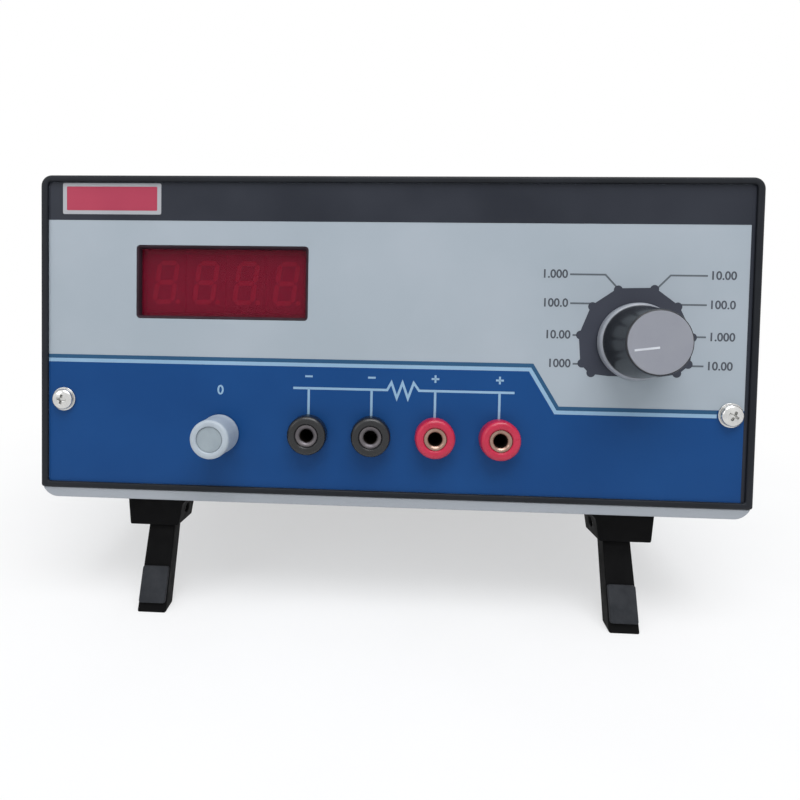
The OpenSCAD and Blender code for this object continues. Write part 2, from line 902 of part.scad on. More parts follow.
module socket_nuts() {
    color([0.8, 0.78, 0.7]) stand() for (i = [0 : sockets - 1]) {
        nut_y = panel_back_y + washer_t;
        for (y = [nut_y, nut_y + socket_nut_t + lug_t]) socket_ring(i, y, socket_nut_t)
            circle(socket_nut_flats / 2 / cos(180 / hex_sides), $fn = hex_sides);
    }
}

module solder_tags() {
    color([0.8, 0.8, 0.78]) stand() for (i = [0 : sockets - 1])
        socket_ring(i, panel_back_y + washer_t + socket_nut_t, lug_t) {
            circle(lug_r);
            translate([-lug_w / 2, 0]) square([lug_w, lug_l]);
        }
}

// A drawing round a socket's sleeve, extruded along Y and bored for the sleeve
module socket_ring(i, y, length) {
    along_y(y, length) translate([socket_x(i), low_row_z]) difference() {
        union() children();
        circle(sleeve_r + pin_fit);
    }
}

// Feet and legs

block_edge = leg_w / 2 + leg_gap;
stop_reach = (leg_t / 2 + stop_gap + (block_h - hinge_drop) * sin(leg_lean)) / cos(leg_lean);

// The right foot block, whose outer cheek is the wide one
module foot_block() {
    inner = block_edge + cheek_t;
    difference() {
        along_y(block_y, block_d) translate([leg_x, -tray_t])
            polygon([[-block_w / 2, 0], [block_w / 2, 0], [block_w / 2 - block_draft, -block_h],
                [-inner, -block_h], [-inner - flare_w / 2, -flare_h]]);
        translate([leg_x - block_edge, hinge_y - stop_reach, heel_z - overrun])
            cube([2 * block_edge, block_d, block_h - hinge_drop + leg_t / 2 + leg_gap + overrun]);
        translate([leg_x, hinge_y, hinge_z]) rotate([0, 90, 0])
            cylinder(h = 2 * block_w, r = pin_r + pin_fit, center = true);
        foot_screw_places() translate([0, 0, -base_screw_l - overrun])
            cylinder(h = base_screw_l + overrun, r = screw_core_r);
    }
}

module foot_block_left() {
    color([0.08, 0.08, 0.09]) stand() mirror([1, 0, 0]) foot_block();
}

module foot_block_right() {
    color([0.08, 0.08, 0.09]) stand() foot_block();
}

// The right leg, out and with its tip cut level with the table
module leg() {
    big = 2 * leg_len;
    difference() {
        translate([leg_x, hinge_y, hinge_z]) rotate([-leg_lean, 0, 0]) intersection() {
            rotate([90, 0, 90]) translate([0, 0, -block_w / 2]) linear_extrude(block_w) {
                circle(leg_t / 2);
                translate([-leg_t / 2, -leg_len - leg_t]) square([leg_t, leg_len + leg_t]);
            }
            along_y(-leg_t, 2 * leg_t)
                polygon([[-leg_w / 2, leg_t], [leg_w / 2, leg_t], [leg_w / 2, 0],
                    [leg_tip_w / 2, -leg_len], [leg_tip_w / 2, -leg_len - 2 * leg_t],
                    [-leg_tip_w / 2, -leg_len - 2 * leg_t], [-leg_tip_w / 2, -leg_len],
                    [-leg_w / 2, 0]]);
        }
        translate([leg_x, hinge_y, hinge_z]) rotate([0, 90, 0])
            cylinder(h = block_w, r = pin_r + turn_fit, center = true);
        translate([leg_x, tip_y, tip_z]) rotate([tilt, 0, 0]) translate([-big, -big, -big])
            cube([2 * big, 2 * big, big]);
    }
}

module leg_left() {
    color([0.08, 0.08, 0.09]) stand() mirror([1, 0, 0]) leg();
}

module leg_right() {
    color([0.08, 0.08, 0.09]) stand() leg();
}

// The right leg's rubber pad, on the face that points forward when the leg is out
module leg_pad() {
    pad_w = leg_tip_w * pad_w_share;
    translate([leg_x, hinge_y, hinge_z]) rotate([-leg_lean, 0, 0])
        along_y(-leg_t / 2 - pad_t, pad_t)
            translate([-pad_w / 2, pad_up - leg_len]) square([pad_w, pad_l]);
}

module leg_pad_left() {
    color([0.22, 0.22, 0.24]) stand() mirror([1, 0, 0]) leg_pad();
}

module leg_pad_right() {
    color([0.22, 0.22, 0.24]) stand() leg_pad();
}

module leg_pins() {
    inner = block_edge + cheek_t - pin_inset;
    outer = block_w / 2 - block_draft - pin_inset;
    color([0.7, 0.7, 0.72]) stand() for (s = [0, 1]) mirror([s, 0, 0])
        translate([leg_x - inner, hinge_y, hinge_z]) rotate([0, 90, 0])
            cylinder(h = inner + outer, r = pin_r);
}

module rear_feet() {
    color([0.08, 0.08, 0.09]) stand() for (s = [-1, 1]) difference() {
        translate([s * leg_x - block_w / 2, heel_y - block_d, heel_z])
            cube([block_w, block_d, block_h]);
        foot_screw_places() translate([0, 0, -base_screw_l - overrun])
            cylinder(h = base_screw_l + overrun, r = screw_core_r);
    }
}

// Rear panel and its fittings

module rear_panel() {
    color([0.66, 0.68, 0.7]) stand() difference() {
        along_y(rear_panel_y, panel_t) difference() {
            panel_outline(0);
            rear_screw_places() circle(screw_hole_r);
            translate([inlet_x, rear_row_z])
                square([inlet_body_w + 2 * flat_fit, inlet_body_h + 2 * flat_fit], center = true);
            for (s = [-1, 1])
                translate([inlet_x + s * inlet_screw_x, rear_row_z]) circle(screw_hole_r);
            translate([fuse_x, rear_row_z]) circle(fuse_body_r + flat_fit);
            translate([rocker_x, rear_row_z])
                square([rocker_body_w + 2 * flat_fit, rocker_body_h + 2 * flat_fit],
                    center = true);
            for (i = [0 : rear_slots - 1])
                translate([rear_slot_x + i * rear_slot_pitch - rear_slot_w / 2,
                    rear_row_z - rear_slot_h / 2]) square([rear_slot_w, rear_slot_h]);
        }
    }
}

module rear_screws() {
    color([0.75, 0.75, 0.76]) stand() {
        for (x = [panel_left + rear_screw_inset, panel_left + panel_w - rear_screw_inset],
            z = [rim_base + rear_screw_inset, rim_base + panel_h - rear_screw_inset])
            translate([x, rear_panel_y + panel_t, z]) rotate([-90, 0, 0])
                pan_screw(base_screw_l, screw_head_r, screw_head_h);
        for (s = [-1, 1])
            translate([inlet_x + s * inlet_screw_x, rear_panel_y + panel_t + inlet_flange_t,
                rear_row_z]) rotate([-90, 0, 0])
                pan_screw(base_screw_l, screw_head_r, screw_head_h);
    }
}

inlet_face_y = rear_panel_y + panel_t + inlet_flange_t;

module mains_inlet() {
    color([0.1, 0.1, 0.11]) stand() difference() {
        union() {
            along_y(rear_panel_y + panel_t, inlet_flange_t)
                rounded_mid(inlet_x, rear_row_z, inlet_flange_w, inlet_flange_h, inlet_flange_t);
            along_y(inlet_face_y - inlet_depth, inlet_depth - inlet_flange_t / 2)
                translate([inlet_x, rear_row_z])
                    square([inlet_body_w, inlet_body_h], center = true);
        }
        along_y(inlet_face_y - inlet_mouth_depth, inlet_mouth_depth + overrun)
            translate([inlet_x, rear_row_z])
                square([inlet_mouth_w, inlet_mouth_h], center = true);
        for (s = [-1, 1])
            rod_y(inlet_x + s * inlet_screw_x, rear_row_z, rear_panel_y,
                panel_t + inlet_flange_t + overrun, screw_hole_r);
        along_y(inlet_face_y - inlet_depth - overrun, inlet_depth)
            inlet_pin_places()
                square([inlet_pin_w + turn_fit, inlet_pin_h + turn_fit], center = true);
    }
}

// The three pins of the inlet, the middle one raised
module inlet_pin_places() {
    for (i = [-1, 0, 1])
        translate([inlet_x + i * inlet_pin_pitch,
            rear_row_z + (i == 0 ? inlet_pin_rise : -inlet_pin_rise)]) children();
}

module inlet_pins() {
    tail = inlet_depth - inlet_mouth_depth + tag_l;
    front = inlet_mouth_depth - inlet_pin_back;
    color([0.8, 0.78, 0.7]) stand()
        along_y(inlet_face_y - inlet_mouth_depth - tail, tail + front)
            inlet_pin_places() square([inlet_pin_w, inlet_pin_h], center = true);
}

fuse_face_y = rear_panel_y + panel_t + fuse_flange_t;

module fuse_holder() {
    hole_r = fuse_body_r - fuse_wall;
    color([0.1, 0.1, 0.11]) stand() difference() {
        union() {
            rod_y(fuse_x, rear_row_z, rear_panel_y + panel_t, fuse_flange_t, fuse_flange_r);
            rod_y(fuse_x, rear_row_z, fuse_face_y - fuse_body_l,
                fuse_body_l - fuse_flange_t / 2, fuse_body_r);
        }
        rod_y(fuse_x, rear_row_z, fuse_face_y - fuse_body_l + fuse_wall, fuse_body_l, hole_r);
    }
}

module fuse_cap() {
    hole_r = fuse_body_r - fuse_wall;
    color([0.1, 0.1, 0.11]) stand() difference() {
        union() {
            turned_back(fuse_x, rear_row_z, fuse_face_y + turn_fit)
                polygon([[0, 0], [fuse_cap_r, 0],
                    [fuse_cap_r, fuse_cap_out - fuse_cap_edge],
                    [fuse_cap_r - fuse_cap_edge, fuse_cap_out], [0, fuse_cap_out]]);
            rod_y(fuse_x, rear_row_z, fuse_face_y - fuse_cup_l, fuse_cup_l + fuse_cap_out / 2,
                hole_r - turn_fit);
        }
        rod_y(fuse_x, rear_row_z, fuse_face_y - fuse_cup_l - overrun,
            fuse_cup_l + overrun - fuse_seat, fuse_r + pin_fit);
        translate([fuse_x - cross_l, fuse_face_y + fuse_cap_out + turn_fit - cross_depth,
            rear_row_z - cross_w])
            cube([2 * cross_l, cross_depth + overrun, 2 * cross_w]);
    }
}

module fuse_link() {
    color([0.8, 0.8, 0.78]) stand()
        rod_y(fuse_x, rear_row_z, fuse_face_y - fuse_seat - fuse_l, fuse_l, fuse_r);
}

rocker_face_y = rear_panel_y + panel_t + rocker_frame_t;
rocker_w = rocker_body_w - 2 * rocker_wall;
rocker_h = rocker_body_h - 2 * rocker_wall;

module power_switch() {
    color([0.1, 0.1, 0.11]) stand() difference() {
        union() {
            along_y(rear_panel_y + panel_t, rocker_frame_t)
                rounded_mid(rocker_x, rear_row_z, rocker_frame_w, rocker_frame_h, panel_corner_r);
            along_y(rocker_face_y - rocker_body_d, rocker_body_d - rocker_frame_t / 2)
                translate([rocker_x, rear_row_z])
                    square([rocker_body_w, rocker_body_h], center = true);
        }
        along_y(rocker_face_y - rocker_well, rocker_well + overrun)
            translate([rocker_x, rear_row_z]) square([rocker_w, rocker_h], center = true);
        translate([rocker_x, rocker_face_y - rocker_hinge_in, rear_row_z]) rotate([0, 90, 0])
            cylinder(h = rocker_w + rocker_wall, r = rocker_pin_r + turn_fit, center = true);
    }
}

// The rocker, drawn with its lower end pressed in
module power_rocker() {
    w = rocker_w - 2 * rocker_gap;
    reach = rocker_h / 2 - 2 * rocker_gap;
    color([0.12, 0.12, 0.13]) stand()
        translate([rocker_x, rocker_face_y - rocker_hinge_in, rear_row_z])
            rotate([-rocker_travel, 0, 0]) {
                rotate([90, 0, 90]) translate([0, 0, -w / 2]) linear_extrude(w)
                    polygon([[rocker_crown / 2 - rocker_hinge_in, reach - rocker_crown],
                        [rocker_hinge_in + rocker_crown, reach],
                        [rocker_hinge_in + rocker_crown / 2, 0],
                        [rocker_hinge_in + rocker_crown, -reach],
                        [rocker_crown / 2 - rocker_hinge_in, rocker_crown - reach]]);
                rotate([0, 90, 0])
                    cylinder(h = w + rocker_wall, r = rocker_pin_r, center = true);
            }
}

// Electronics

module main_board() {
    color([0.1, 0.35, 0.2]) stand() difference() {
        translate([board_x, board_y, board_z]) cube([board_w, board_d, pcb_t]);
        board_screw_places() translate([0, 0, board_rise - overrun])
            cylinder(h = pcb_t + 2 * overrun, r = screw_hole_r);
    }
}

module board_parts() {
    top = board_z + pcb_t;
    left = board_x + part_margin;
    near = board_y + part_margin;
    far = board_y + board_d - part_margin;
    color([0.12, 0.12, 0.13]) stand() {
        for (i = [0 : capacitors - 1])
            translate([left + capacitor_r, far - capacitor_r - i * capacitor_pitch, top])
                cylinder(h = capacitor_h, r = capacitor_r);
        for (i = [0 : chips - 1])
            translate([left + header_w / 2 + i * chip_pitch, near + 2 * header_l + chip_l, top])
                cube([chip_w, chip_l, chip_h]);
        translate([left, near, top]) cube([header_w, header_l, header_h]);
        translate([board_x + board_w - part_margin - relay_w, near, top])
            cube([relay_w, relay_l, relay_h]);
        translate([board_x + board_w - part_margin - sink_w, far - sink_fin_l - sink_t, top]) {
            cube([sink_w, sink_t, sink_h]);
            for (i = [0 : sink_fins - 1])
                translate([i * (sink_w - sink_t) / (sink_fins - 1), sink_t / 2, 0])
                    cube([sink_t, sink_fin_l, sink_h]);
        }
    }
}

// The limb and the winding windows of the core, from its stack and width
core_x = core_gap + core_foot_w + core_w / 2 - wall_x;
limb_w = core_w * core_limb_share;
gap_w = core_w * window_share;
yoke_h = limb_w / 2;

module transformer_core() {
    color([0.3, 0.3, 0.32]) stand() difference() {
        union() {
            translate([core_x - core_w / 2, core_y, core_lift])
                cube([core_w, core_stack, core_h]);
            translate([core_x - core_w / 2 - core_foot_w, core_y, 0])
                cube([core_w + 2 * core_foot_w, core_stack, core_lift + overrun]);
        }
        for (s = [-1, 1])
            translate([core_x + s * (limb_w + gap_w) / 2 - gap_w / 2, core_y - overrun,
                core_lift + yoke_h]) cube([gap_w, core_stack + 2 * overrun, core_h - 2 * yoke_h]);
    }
}

module transformer_winding() {
    inner_w = limb_w + 2 * winding_fit;
    outer_w = limb_w + 2 * gap_w - 2 * winding_fit;
    h = core_h - 2 * yoke_h - 2 * winding_fit;
    color([0.75, 0.6, 0.25]) stand() difference() {
        translate([core_x - outer_w / 2, core_y - winding_swell, core_lift + yoke_h + winding_fit])
            cube([outer_w, core_stack + 2 * winding_swell, h]);
        translate([core_x - inner_w / 2, core_y - winding_fit, 0])
            cube([inner_w, core_stack + 2 * winding_fit, core_h]);
    }
}

front_frame();
front_panel();
panel_overlay();
display_filter();
display_holder();
led_digit(0);  // led_digit_1
led_digit(1);  // led_digit_2
led_digit(2);  // led_digit_3
led_digit(3);  // led_digit_4
display_board();
range_knob();
range_knob_disc();
range_shaft();
range_nut();
range_switch();
switch_wafers();
zero_knob();
zero_knob_disc();
zero_shaft();
zero_nut();
zero_pot();
socket_head(0);  // socket_head_1
socket_head(1);  // socket_head_2
socket_head(2);  // socket_head_3
socket_head(3);  // socket_head_4
socket_sleeve(0);  // socket_sleeve_1
socket_sleeve(1);  // socket_sleeve_2
socket_sleeve(2);  // socket_sleeve_3
socket_sleeve(3);  // socket_sleeve_4
socket_washers();
socket_nuts();
solder_tags();
panel_screws();
panel_washers();
top_cover();
cover_screws();
bottom_tray();
rear_frame();
rear_panel();
rear_screws();
mains_inlet();
inlet_pins();
fuse_holder();
fuse_cap();
fuse_link();
power_switch();
power_rocker();
foot_block_left();
foot_block_right();
leg_left();
leg_right();
leg_pins();
leg_pad_left();
leg_pad_right();
rear_feet();
base_screws();
main_board();
board_parts();
transformer_core();
transformer_winding();
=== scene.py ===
# %% [markdown]
# # A bench micro ohmmeter
#
# The construction model gives the case, the knobs, the sockets and the legs. This lesson dresses it
# piece by piece: a moulded front frame, a screen-printed panel, a red display window with LED digits,
# knobs and sockets turned on a lathe, and the plain rear of a bench instrument.
#
# All pieces are drawn in the case's own millimetres (X right, Y into the case, Z up from the front
# frame's lower edge) and put through one matrix that tilts them back on to the front legs.

# %% Load the frame
import json
import math

import bmesh
import bpy
from mathutils import Matrix, Vector

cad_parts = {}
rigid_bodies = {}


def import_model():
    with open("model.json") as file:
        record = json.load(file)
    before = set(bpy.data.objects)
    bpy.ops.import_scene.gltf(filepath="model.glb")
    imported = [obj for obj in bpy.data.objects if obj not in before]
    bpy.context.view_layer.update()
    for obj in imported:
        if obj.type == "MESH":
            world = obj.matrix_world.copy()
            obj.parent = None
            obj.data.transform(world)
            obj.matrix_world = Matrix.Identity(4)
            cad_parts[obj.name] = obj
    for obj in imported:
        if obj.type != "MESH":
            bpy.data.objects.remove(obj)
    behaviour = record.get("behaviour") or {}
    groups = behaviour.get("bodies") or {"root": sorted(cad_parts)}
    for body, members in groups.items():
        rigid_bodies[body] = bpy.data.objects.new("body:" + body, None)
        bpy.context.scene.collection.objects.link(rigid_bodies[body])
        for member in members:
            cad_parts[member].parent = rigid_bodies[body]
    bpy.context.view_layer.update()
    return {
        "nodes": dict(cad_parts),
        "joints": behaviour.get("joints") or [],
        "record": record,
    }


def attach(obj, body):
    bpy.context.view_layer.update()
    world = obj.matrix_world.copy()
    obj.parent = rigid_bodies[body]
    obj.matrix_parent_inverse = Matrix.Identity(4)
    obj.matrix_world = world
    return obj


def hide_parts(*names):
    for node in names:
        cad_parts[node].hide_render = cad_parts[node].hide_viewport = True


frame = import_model()

# %% [markdown]
# ## From the case's millimetres to the room's metres
#
# The range knob turns about the panel's own normal. Its joint therefore holds the case's tilt and one
# known point of the case, and the matrix comes from these two.

# %% The case matrix
MM = 0.001
KNOB_X, KNOB_Z, FACE_Y = 76.0, 50.9, 1.0
knob_joint = next(j for j in frame["joints"] if j["name"] == "range_turn")
tilt = math.atan2(-knob_joint["axis"][2], knob_joint["axis"][1])
CASE = (Matrix.Translation(Vector(knob_joint["pos_m"])) @ Matrix.Rotation(-tilt, 4, "X")
        @ Matrix.Scale(MM, 4) @ Matrix.Translation((-KNOB_X, -FACE_Y, -KNOB_Z)))
print("tilt in degrees:", round(math.degrees(tilt), 3))

# %% [markdown]
# ## Materials
#
# One helper adds a shader node with its settings and links. Colours are written as sRGB hex and turned
# into linear light by one function. Every material reads Object coordinates, so a millimetre of grain
# is a real millimetre.

# %% Node helpers
def linear(hex_colour):
    """An sRGB hex colour as linear RGBA."""
    values = [int(hex_colour[i:i + 2], 16) / 255 for i in (1, 3, 5)]
    return [v / 12.92 if v <= 0.04045 else ((v + 0.055) / 1.055) ** 2.4 for v in values] + [1.0]


def add(tree, kind, links=None, values=None, **settings):
    """Adds a node, sets its attributes and socket values, and links other sockets into it."""
    made = tree.nodes.new(kind)
    for key, value in settings.items():
        setattr(made, key, value)
    for key, value in (values or {}).items():
        made.inputs[key].default_value = value
    for key, source in (links or {}).items():
        tree.links.new(source, made.inputs[key])
    return made


def new_material(name):
    """An empty node material with its output, and Object coordinates."""
    material = bpy.data.materials.new(name)
    material.use_nodes = True
    tree = material.node_tree
    tree.nodes.clear()
    coords = add(tree, "ShaderNodeTexCoord").outputs["Object"]
    return material, tree, coords


print("colour test:", [round(v, 3) for v in linear("#808080")])

# %% [markdown]
# ### Noise, ranges and mixes
#
# Wear and grain come from noise of a real size, mapped on to a narrow range of a value or a colour.

# %% Value helpers
def noise(tree, coords, size_mm, detail=3.0, rough=0.55):
    """Noise whose features are about size_mm wide."""
    return add(tree, "ShaderNodeTexNoise", {"Vector": coords},
               {"Scale": 1.0 / (size_mm * MM), "Detail": detail, "Roughness": rough}).outputs["Fac"]


def spread(tree, value, low, high, start=0.35, end=0.65):
    """Maps a 0 to 1 value from start..end on to low..high."""
    return add(tree, "ShaderNodeMapRange", {"Value": value},
               {"From Min": start, "From Max": end, "To Min": low, "To Max": high}).outputs["Result"]


def two_tone(tree, factor, first, second):
    """A colour between two hex colours."""
    node = add(tree, "ShaderNodeMix", {"Factor": factor}, data_type="RGBA")
    node.inputs["A"].default_value = linear(first)
    node.inputs["B"].default_value = linear(second)
    return node.outputs["Result"]


def finish_material(tree, shader):
    """Ends a material's tree with its output."""
    add(tree, "ShaderNodeOutputMaterial", {"Surface": shader})


print("value helpers ready")

# %% [markdown]
# ### Moulded and turned surfaces
#
# Most pieces share one recipe: a slow colour drift, smudges in the roughness, a fine moulded or
# blasted grain as bump, and edges softened in the shading. What differs is the numbers.

# %% The general surface
def surface(name, colour, second, rough=(0.4, 0.5), grain=0.35, bump=0.01, drift=18.0,
            metallic=0.0, coat=0.0, edge=0.25, specular=0.5):
    """A plastic, enamel or metal surface. grain, bump, drift and edge are in millimetres."""
    material, tree, coords = new_material(name)
    slow = noise(tree, coords, drift)
    smudge = noise(tree, coords, drift * 0.4, detail=6.0)
    fine = noise(tree, coords, grain, detail=2.0)
    rounded = add(tree, "ShaderNodeBevel", values={"Radius": edge * MM}, samples=4)
    relief = add(tree, "ShaderNodeBump", {"Height": fine, "Normal": rounded.outputs["Normal"]},
                 {"Strength": 1.0, "Distance": bump * MM})
    shader = add(tree, "ShaderNodeBsdfPrincipled", {
        "Base Color": two_tone(tree, spread(tree, slow, 0.0, 1.0), colour, second),
        "Roughness": spread(tree, smudge, rough[0], rough[1]),
        "Normal": relief.outputs["Normal"]},
        {"Metallic": metallic, "Coat Weight": coat, "Coat Roughness": 0.12,
         "Specular IOR Level": specular})
    finish_material(tree, shader.outputs["BSDF"])
    return material


print("a surface takes colours in hex and lengths in millimetres")

# %% [markdown]
# ### Case, knobs and socket heads
#
# Black moulded frames against light grey sheet metal, a polished knob with its matt disc, and the
# glossy socket heads.

# %% Plastics and paint
# moulded ABS, fine matt spark texture
frame_black = surface("black_moulded_abs", "#15181d", "#1c1f25", (0.42, 0.54), 0.28, 0.02, 25,
                      specular=0.2)
# powder-coated sheet steel, light grey, with a slight orange peel
grey_enamel = surface("light_grey_powder_coat", "#9a9fa5", "#9fa4aa", (0.42, 0.48), 0.9, 0.015, 60)
# polished black phenolic of the range knob
knob_gloss = surface("glossy_black_knob", "#202226", "#26292c", (0.17, 0.21), 0.5, 0.0006, 22)
# matt grey disc let into the knob's end
disc_grey = surface("matt_grey_disc", "#8b8d96", "#8f9199", (0.5, 0.6), 0.15, 0.003, 9)
# pale grey rim at the foot of the knob: its pale colour is a painted highlight on the knob's glossy edge
painted_highlight_rim = surface("pale_grey_rim", "#8b8f97", "#989ca3", (0.28, 0.36), 0.2, 0.001, 5)
# white paint of the pointer and the rocker's marks
line_white = surface("white_paint_line", "#d3d6dc", "#cacdd4", (0.45, 0.55), 0.1, 0.003, 3, edge=0.05)
# pale grey moulded plastic of the zero knob
zero_grey = surface("pale_grey_plastic", "#a8b2bb", "#b1bbc3", (0.3, 0.4), 0.3, 0.003, 6)
# the same plastic, a shade darker, for the disc in the zero knob's end
zero_dark = surface("pale_grey_disc", "#909ba2", "#99a4aa", (0.4, 0.5), 0.2, 0.003, 5)
# glossy polyamide of the black and the red socket heads
head_black = surface("black_polyamide", "#101113", "#17181b", (0.22, 0.34), 0.4, 0.003, 5)
head_red = surface("red_polyamide", "#b3183a", "#bf2244", (0.25, 0.38), 0.4, 0.003, 5)
print("plastics and paint:", len(bpy.data.materials))

# %% [markdown]
# ### Metals
#
# Plated brass in the sockets, bright plating on the screws, turned steel and rolled aluminium.

# %% Metals
# nickel plating on brass, gone a little brown
nickel = surface("nickel_plated_brass", "#94796c", "#a3887b", (0.22, 0.36), 0.3, 0.002, 3, metallic=1.0)
# the same plating, dulled by many plugs
worn_nickel = surface("worn_nickel_plating", "#5f5c60", "#6d696b", (0.4, 0.52), 0.3, 0.003, 3, metallic=1.0)
# bare brass inside a socket, dark with age
dark_brass = surface("oxidised_brass_bore", "#2c2723", "#37312b", (0.6, 0.75), 0.3, 0.003, 3, metallic=1.0)
# bright nickel on steel screws, nuts and washers
bright_nickel = surface("bright_nickel_steel", "#c9c9c8", "#d6d6d4", (0.16, 0.28), 0.25, 0.002, 3,
                        metallic=1.0)
# turned steel of the shafts and the switch
steel = surface("turned_steel", "#a9abad", "#b9bbbd", (0.25, 0.36), 0.15, 0.002, 5, metallic=1.0)
# rolled aluminium sheet, mill finish
aluminium = surface("mill_aluminium", "#b9bbbd", "#c4c6c8", (0.3, 0.42), 0.12, 0.003, 14, metallic=1.0)
print("metals:", [m.name for m in (nickel, worn_nickel, dark_brass, bright_nickel, steel, aluminium)])

# %% [markdown]
# ### Legs, fittings and what is inside
#
# Matt black legs with rubber pads, the rear fittings, and the boards, switch and transformer.

# %% Legs, fittings and inner parts
# matt black plastic of the legs and feet
leg_black = surface("black_leg_plastic", "#050506", "#0a0a0b", (0.55, 0.68), 0.3, 0.012, 9, specular=0.08)
# dark grey rubber of the pads
pad_rubber = surface("dark_rubber", "#26282c", "#2e3034", (0.7, 0.85), 0.2, 0.01, 5, specular=0.25)
# black nylon of the inlet, the switch and the fuse holder
fitting_black = surface("black_rear_fitting", "#191a1c", "#222427", (0.3, 0.42), 0.3, 0.006, 8)
# black plastic round the display, with a painted red cast standing for the red window's light
holder_black_red_cast = surface("black_holder", "#2a1a22", "#33202a", (0.6, 0.7), 0.3, 0.004, 8, specular=0.25)
# lacquered glass-fibre board
board_green = surface("green_board", "#1d5a38", "#256843", (0.3, 0.45), 0.6, 0.006, 6, coat=0.3)
# brown phenolic paper of the switch wafers
wafer_brown = surface("phenolic_paper", "#7d5a33", "#8a663c", (0.45, 0.6), 0.3, 0.004, 5)
# blue-grey plastic of the potentiometer
pot_blue = surface("blue_grey_pot", "#4a566b", "#546178", (0.4, 0.5), 0.3, 0.004, 5)
# black epoxy of chips and relay
resin_black = surface("black_resin", "#1b1b1d", "#252528", (0.4, 0.5), 0.3, 0.004, 6)
# varnished steel sheets of the transformer core
core_grey = surface("varnished_core", "#47474a", "#545457", (0.4, 0.6), 0.35, 0.03, 6)
# yellow tape round the winding
tape_yellow = surface("yellow_winding_tape", "#b28f3c", "#c09c48", (0.35, 0.5), 0.4, 0.004, 6)
# dark red face of the LED digits, unlit
digit_dark = surface("dark_red_digit_face", "#520a18", "#5e0d1c", (0.5, 0.6), 0.2, 0.002, 6, specular=0.2)
print("surfaces:", len(bpy.data.materials))

# %% [markdown]
# ### The screen print
#
# The panel is a polyester film printed from behind, so all its colours share one slightly textured,
# softly glossy skin. Each ink is its own piece of film in this model, a few hundredths of a
# millimetre thick, with the same skin and its own colour.

# %% Printed film
def ink(name, colour, second, rough=(0.3, 0.42)):
    """Ink behind a fine-grained polyester film."""
    return surface(name, colour, second, rough, 0.22, 0.004, 40, edge=0.02, specular=0.15)


ink_grey = ink("print_light_grey", "#a3adb5", "#a9b2ba")
ink_blue = ink("print_blue", "#12427a", "#164780")
ink_black = ink("print_black", "#272a32", "#31343c")
ink_dial = ink("print_dial_black", "#3a3d47", "#42454f")
ink_pale = ink("print_pale_blue", "#8aabc6", "#93b4ce")
ink_slate = ink("print_slate", "#2c5273", "#31587a")
ink_text = ink("print_dark_text", "#4b4f55", "#545860")
ink_line = ink("print_leader", "#5c6268", "#646a70")
ink_red = ink("print_red", "#a63e54", "#b04459")
ink_white = ink("print_off_white", "#a5a6ab", "#b0b1b5")
print("inks:", [m.name for m in bpy.data.materials if m.name.startswith("print")])

# %% [markdown]
# ### Display acrylic, LED resin, fuse glass and the room

# %% Clear and special materials
def acrylic(name, colour, alpha, rough):
    """A tinted clear sheet that lets part of what is behind it through."""
    material, tree, coords = new_material(name)
    smudge = noise(tree, coords, 7.0, detail=5.0)
    shader = add(tree, "ShaderNodeBsdfPrincipled", {"Roughness": spread(tree, smudge, rough, rough + 0.08)},
                 {"Base Color": linear(colour), "Alpha": alpha, "Specular IOR Level": 0.2})
    finish_material(tree, shader.outputs["BSDF"])
    return material


# red window acrylic, slightly frosted
filter_red = acrylic("red_acrylic", "#85122e", 0.5, 0.16)
# clear glass of the fuse link
fuse_glass = acrylic("fuse_glass", "#d7e0e0", 0.3, 0.03)


def resin(name, colour, second, glow):
    """The diffusing resin of a display segment, with a faint painted glow though no lamp lights it."""
    material, tree, coords = new_material(name)
    cloud = noise(tree, coords, 1.2)
    colour_out = two_tone(tree, spread(tree, cloud, 0.0, 1.0), colour, second)
    shader = add(tree, "ShaderNodeBsdfPrincipled",
                 {"Base Color": colour_out, "Emission Color": colour_out},
                 {"Roughness": 0.35, "Emission Strength": glow})
    finish_material(tree, shader.outputs["BSDF"])
    return material


# diffusing red resin of an unlit segment, with a faint painted glow
painted_glow_segment = resin("unlit_red_segment", "#a30f28", "#b3152e", 0.12)
print("display materials:", filter_red.name, painted_glow_segment.name)

# %% [markdown]
# ## Dressing the construction nodes
#
# Each CAD node keeps its shape and gets the material of its record slot.

# %% Slots to materials
slot_material = {
    "black_frame": frame_black, "panel_aluminium": aluminium, "panel_print": ink_grey,
    "red_filter": filter_red, "holder_plastic": holder_black_red_cast, "digit_resin": digit_dark,
    "board_laminate": board_green, "knob_black": knob_gloss, "disc_grey": disc_grey,
    "shaft_steel": steel, "nickel": bright_nickel, "brass_plain": nickel, "switch_metal": steel,
    "paper_laminate": wafer_brown, "knob_grey": zero_grey, "disc_pale": zero_dark,
    "pot_body": pot_blue, "socket_black": head_black, "socket_red": head_red,
    "grey_enamel": grey_enamel, "inlet_plastic": fitting_black, "fuse_glass": fuse_glass,
    "leg_plastic": leg_black, "leg_rubber": pad_rubber, "part_resin": resin_black,
    "core_steel": core_grey, "winding_tape": tape_yellow}
slot_of = {s["node"]: s["material_slot"] for s in frame["record"]["subparts"]}
body_of = {name: node.parent.name.partition(":")[2] for name, node in frame["nodes"].items()}
for node_name, node in frame["nodes"].items():
    node.data.materials.clear()
    node.data.materials.append(slot_material[slot_of[node_name]])
print("dressed nodes:", len(frame["nodes"]))

# %% [markdown]
# ## Making pieces
#
# Four ways of making cover the whole instrument: a flat outline given a thickness, a profile turned
# on a lathe, a section swept round a rounded rectangle, and a CAD node whose sharp edges are rounded
# off. Each ends in the same finishing step: weld, face outwards, move to the room, even out the
# shading so that flat faces look flat, and ride on its CAD body.

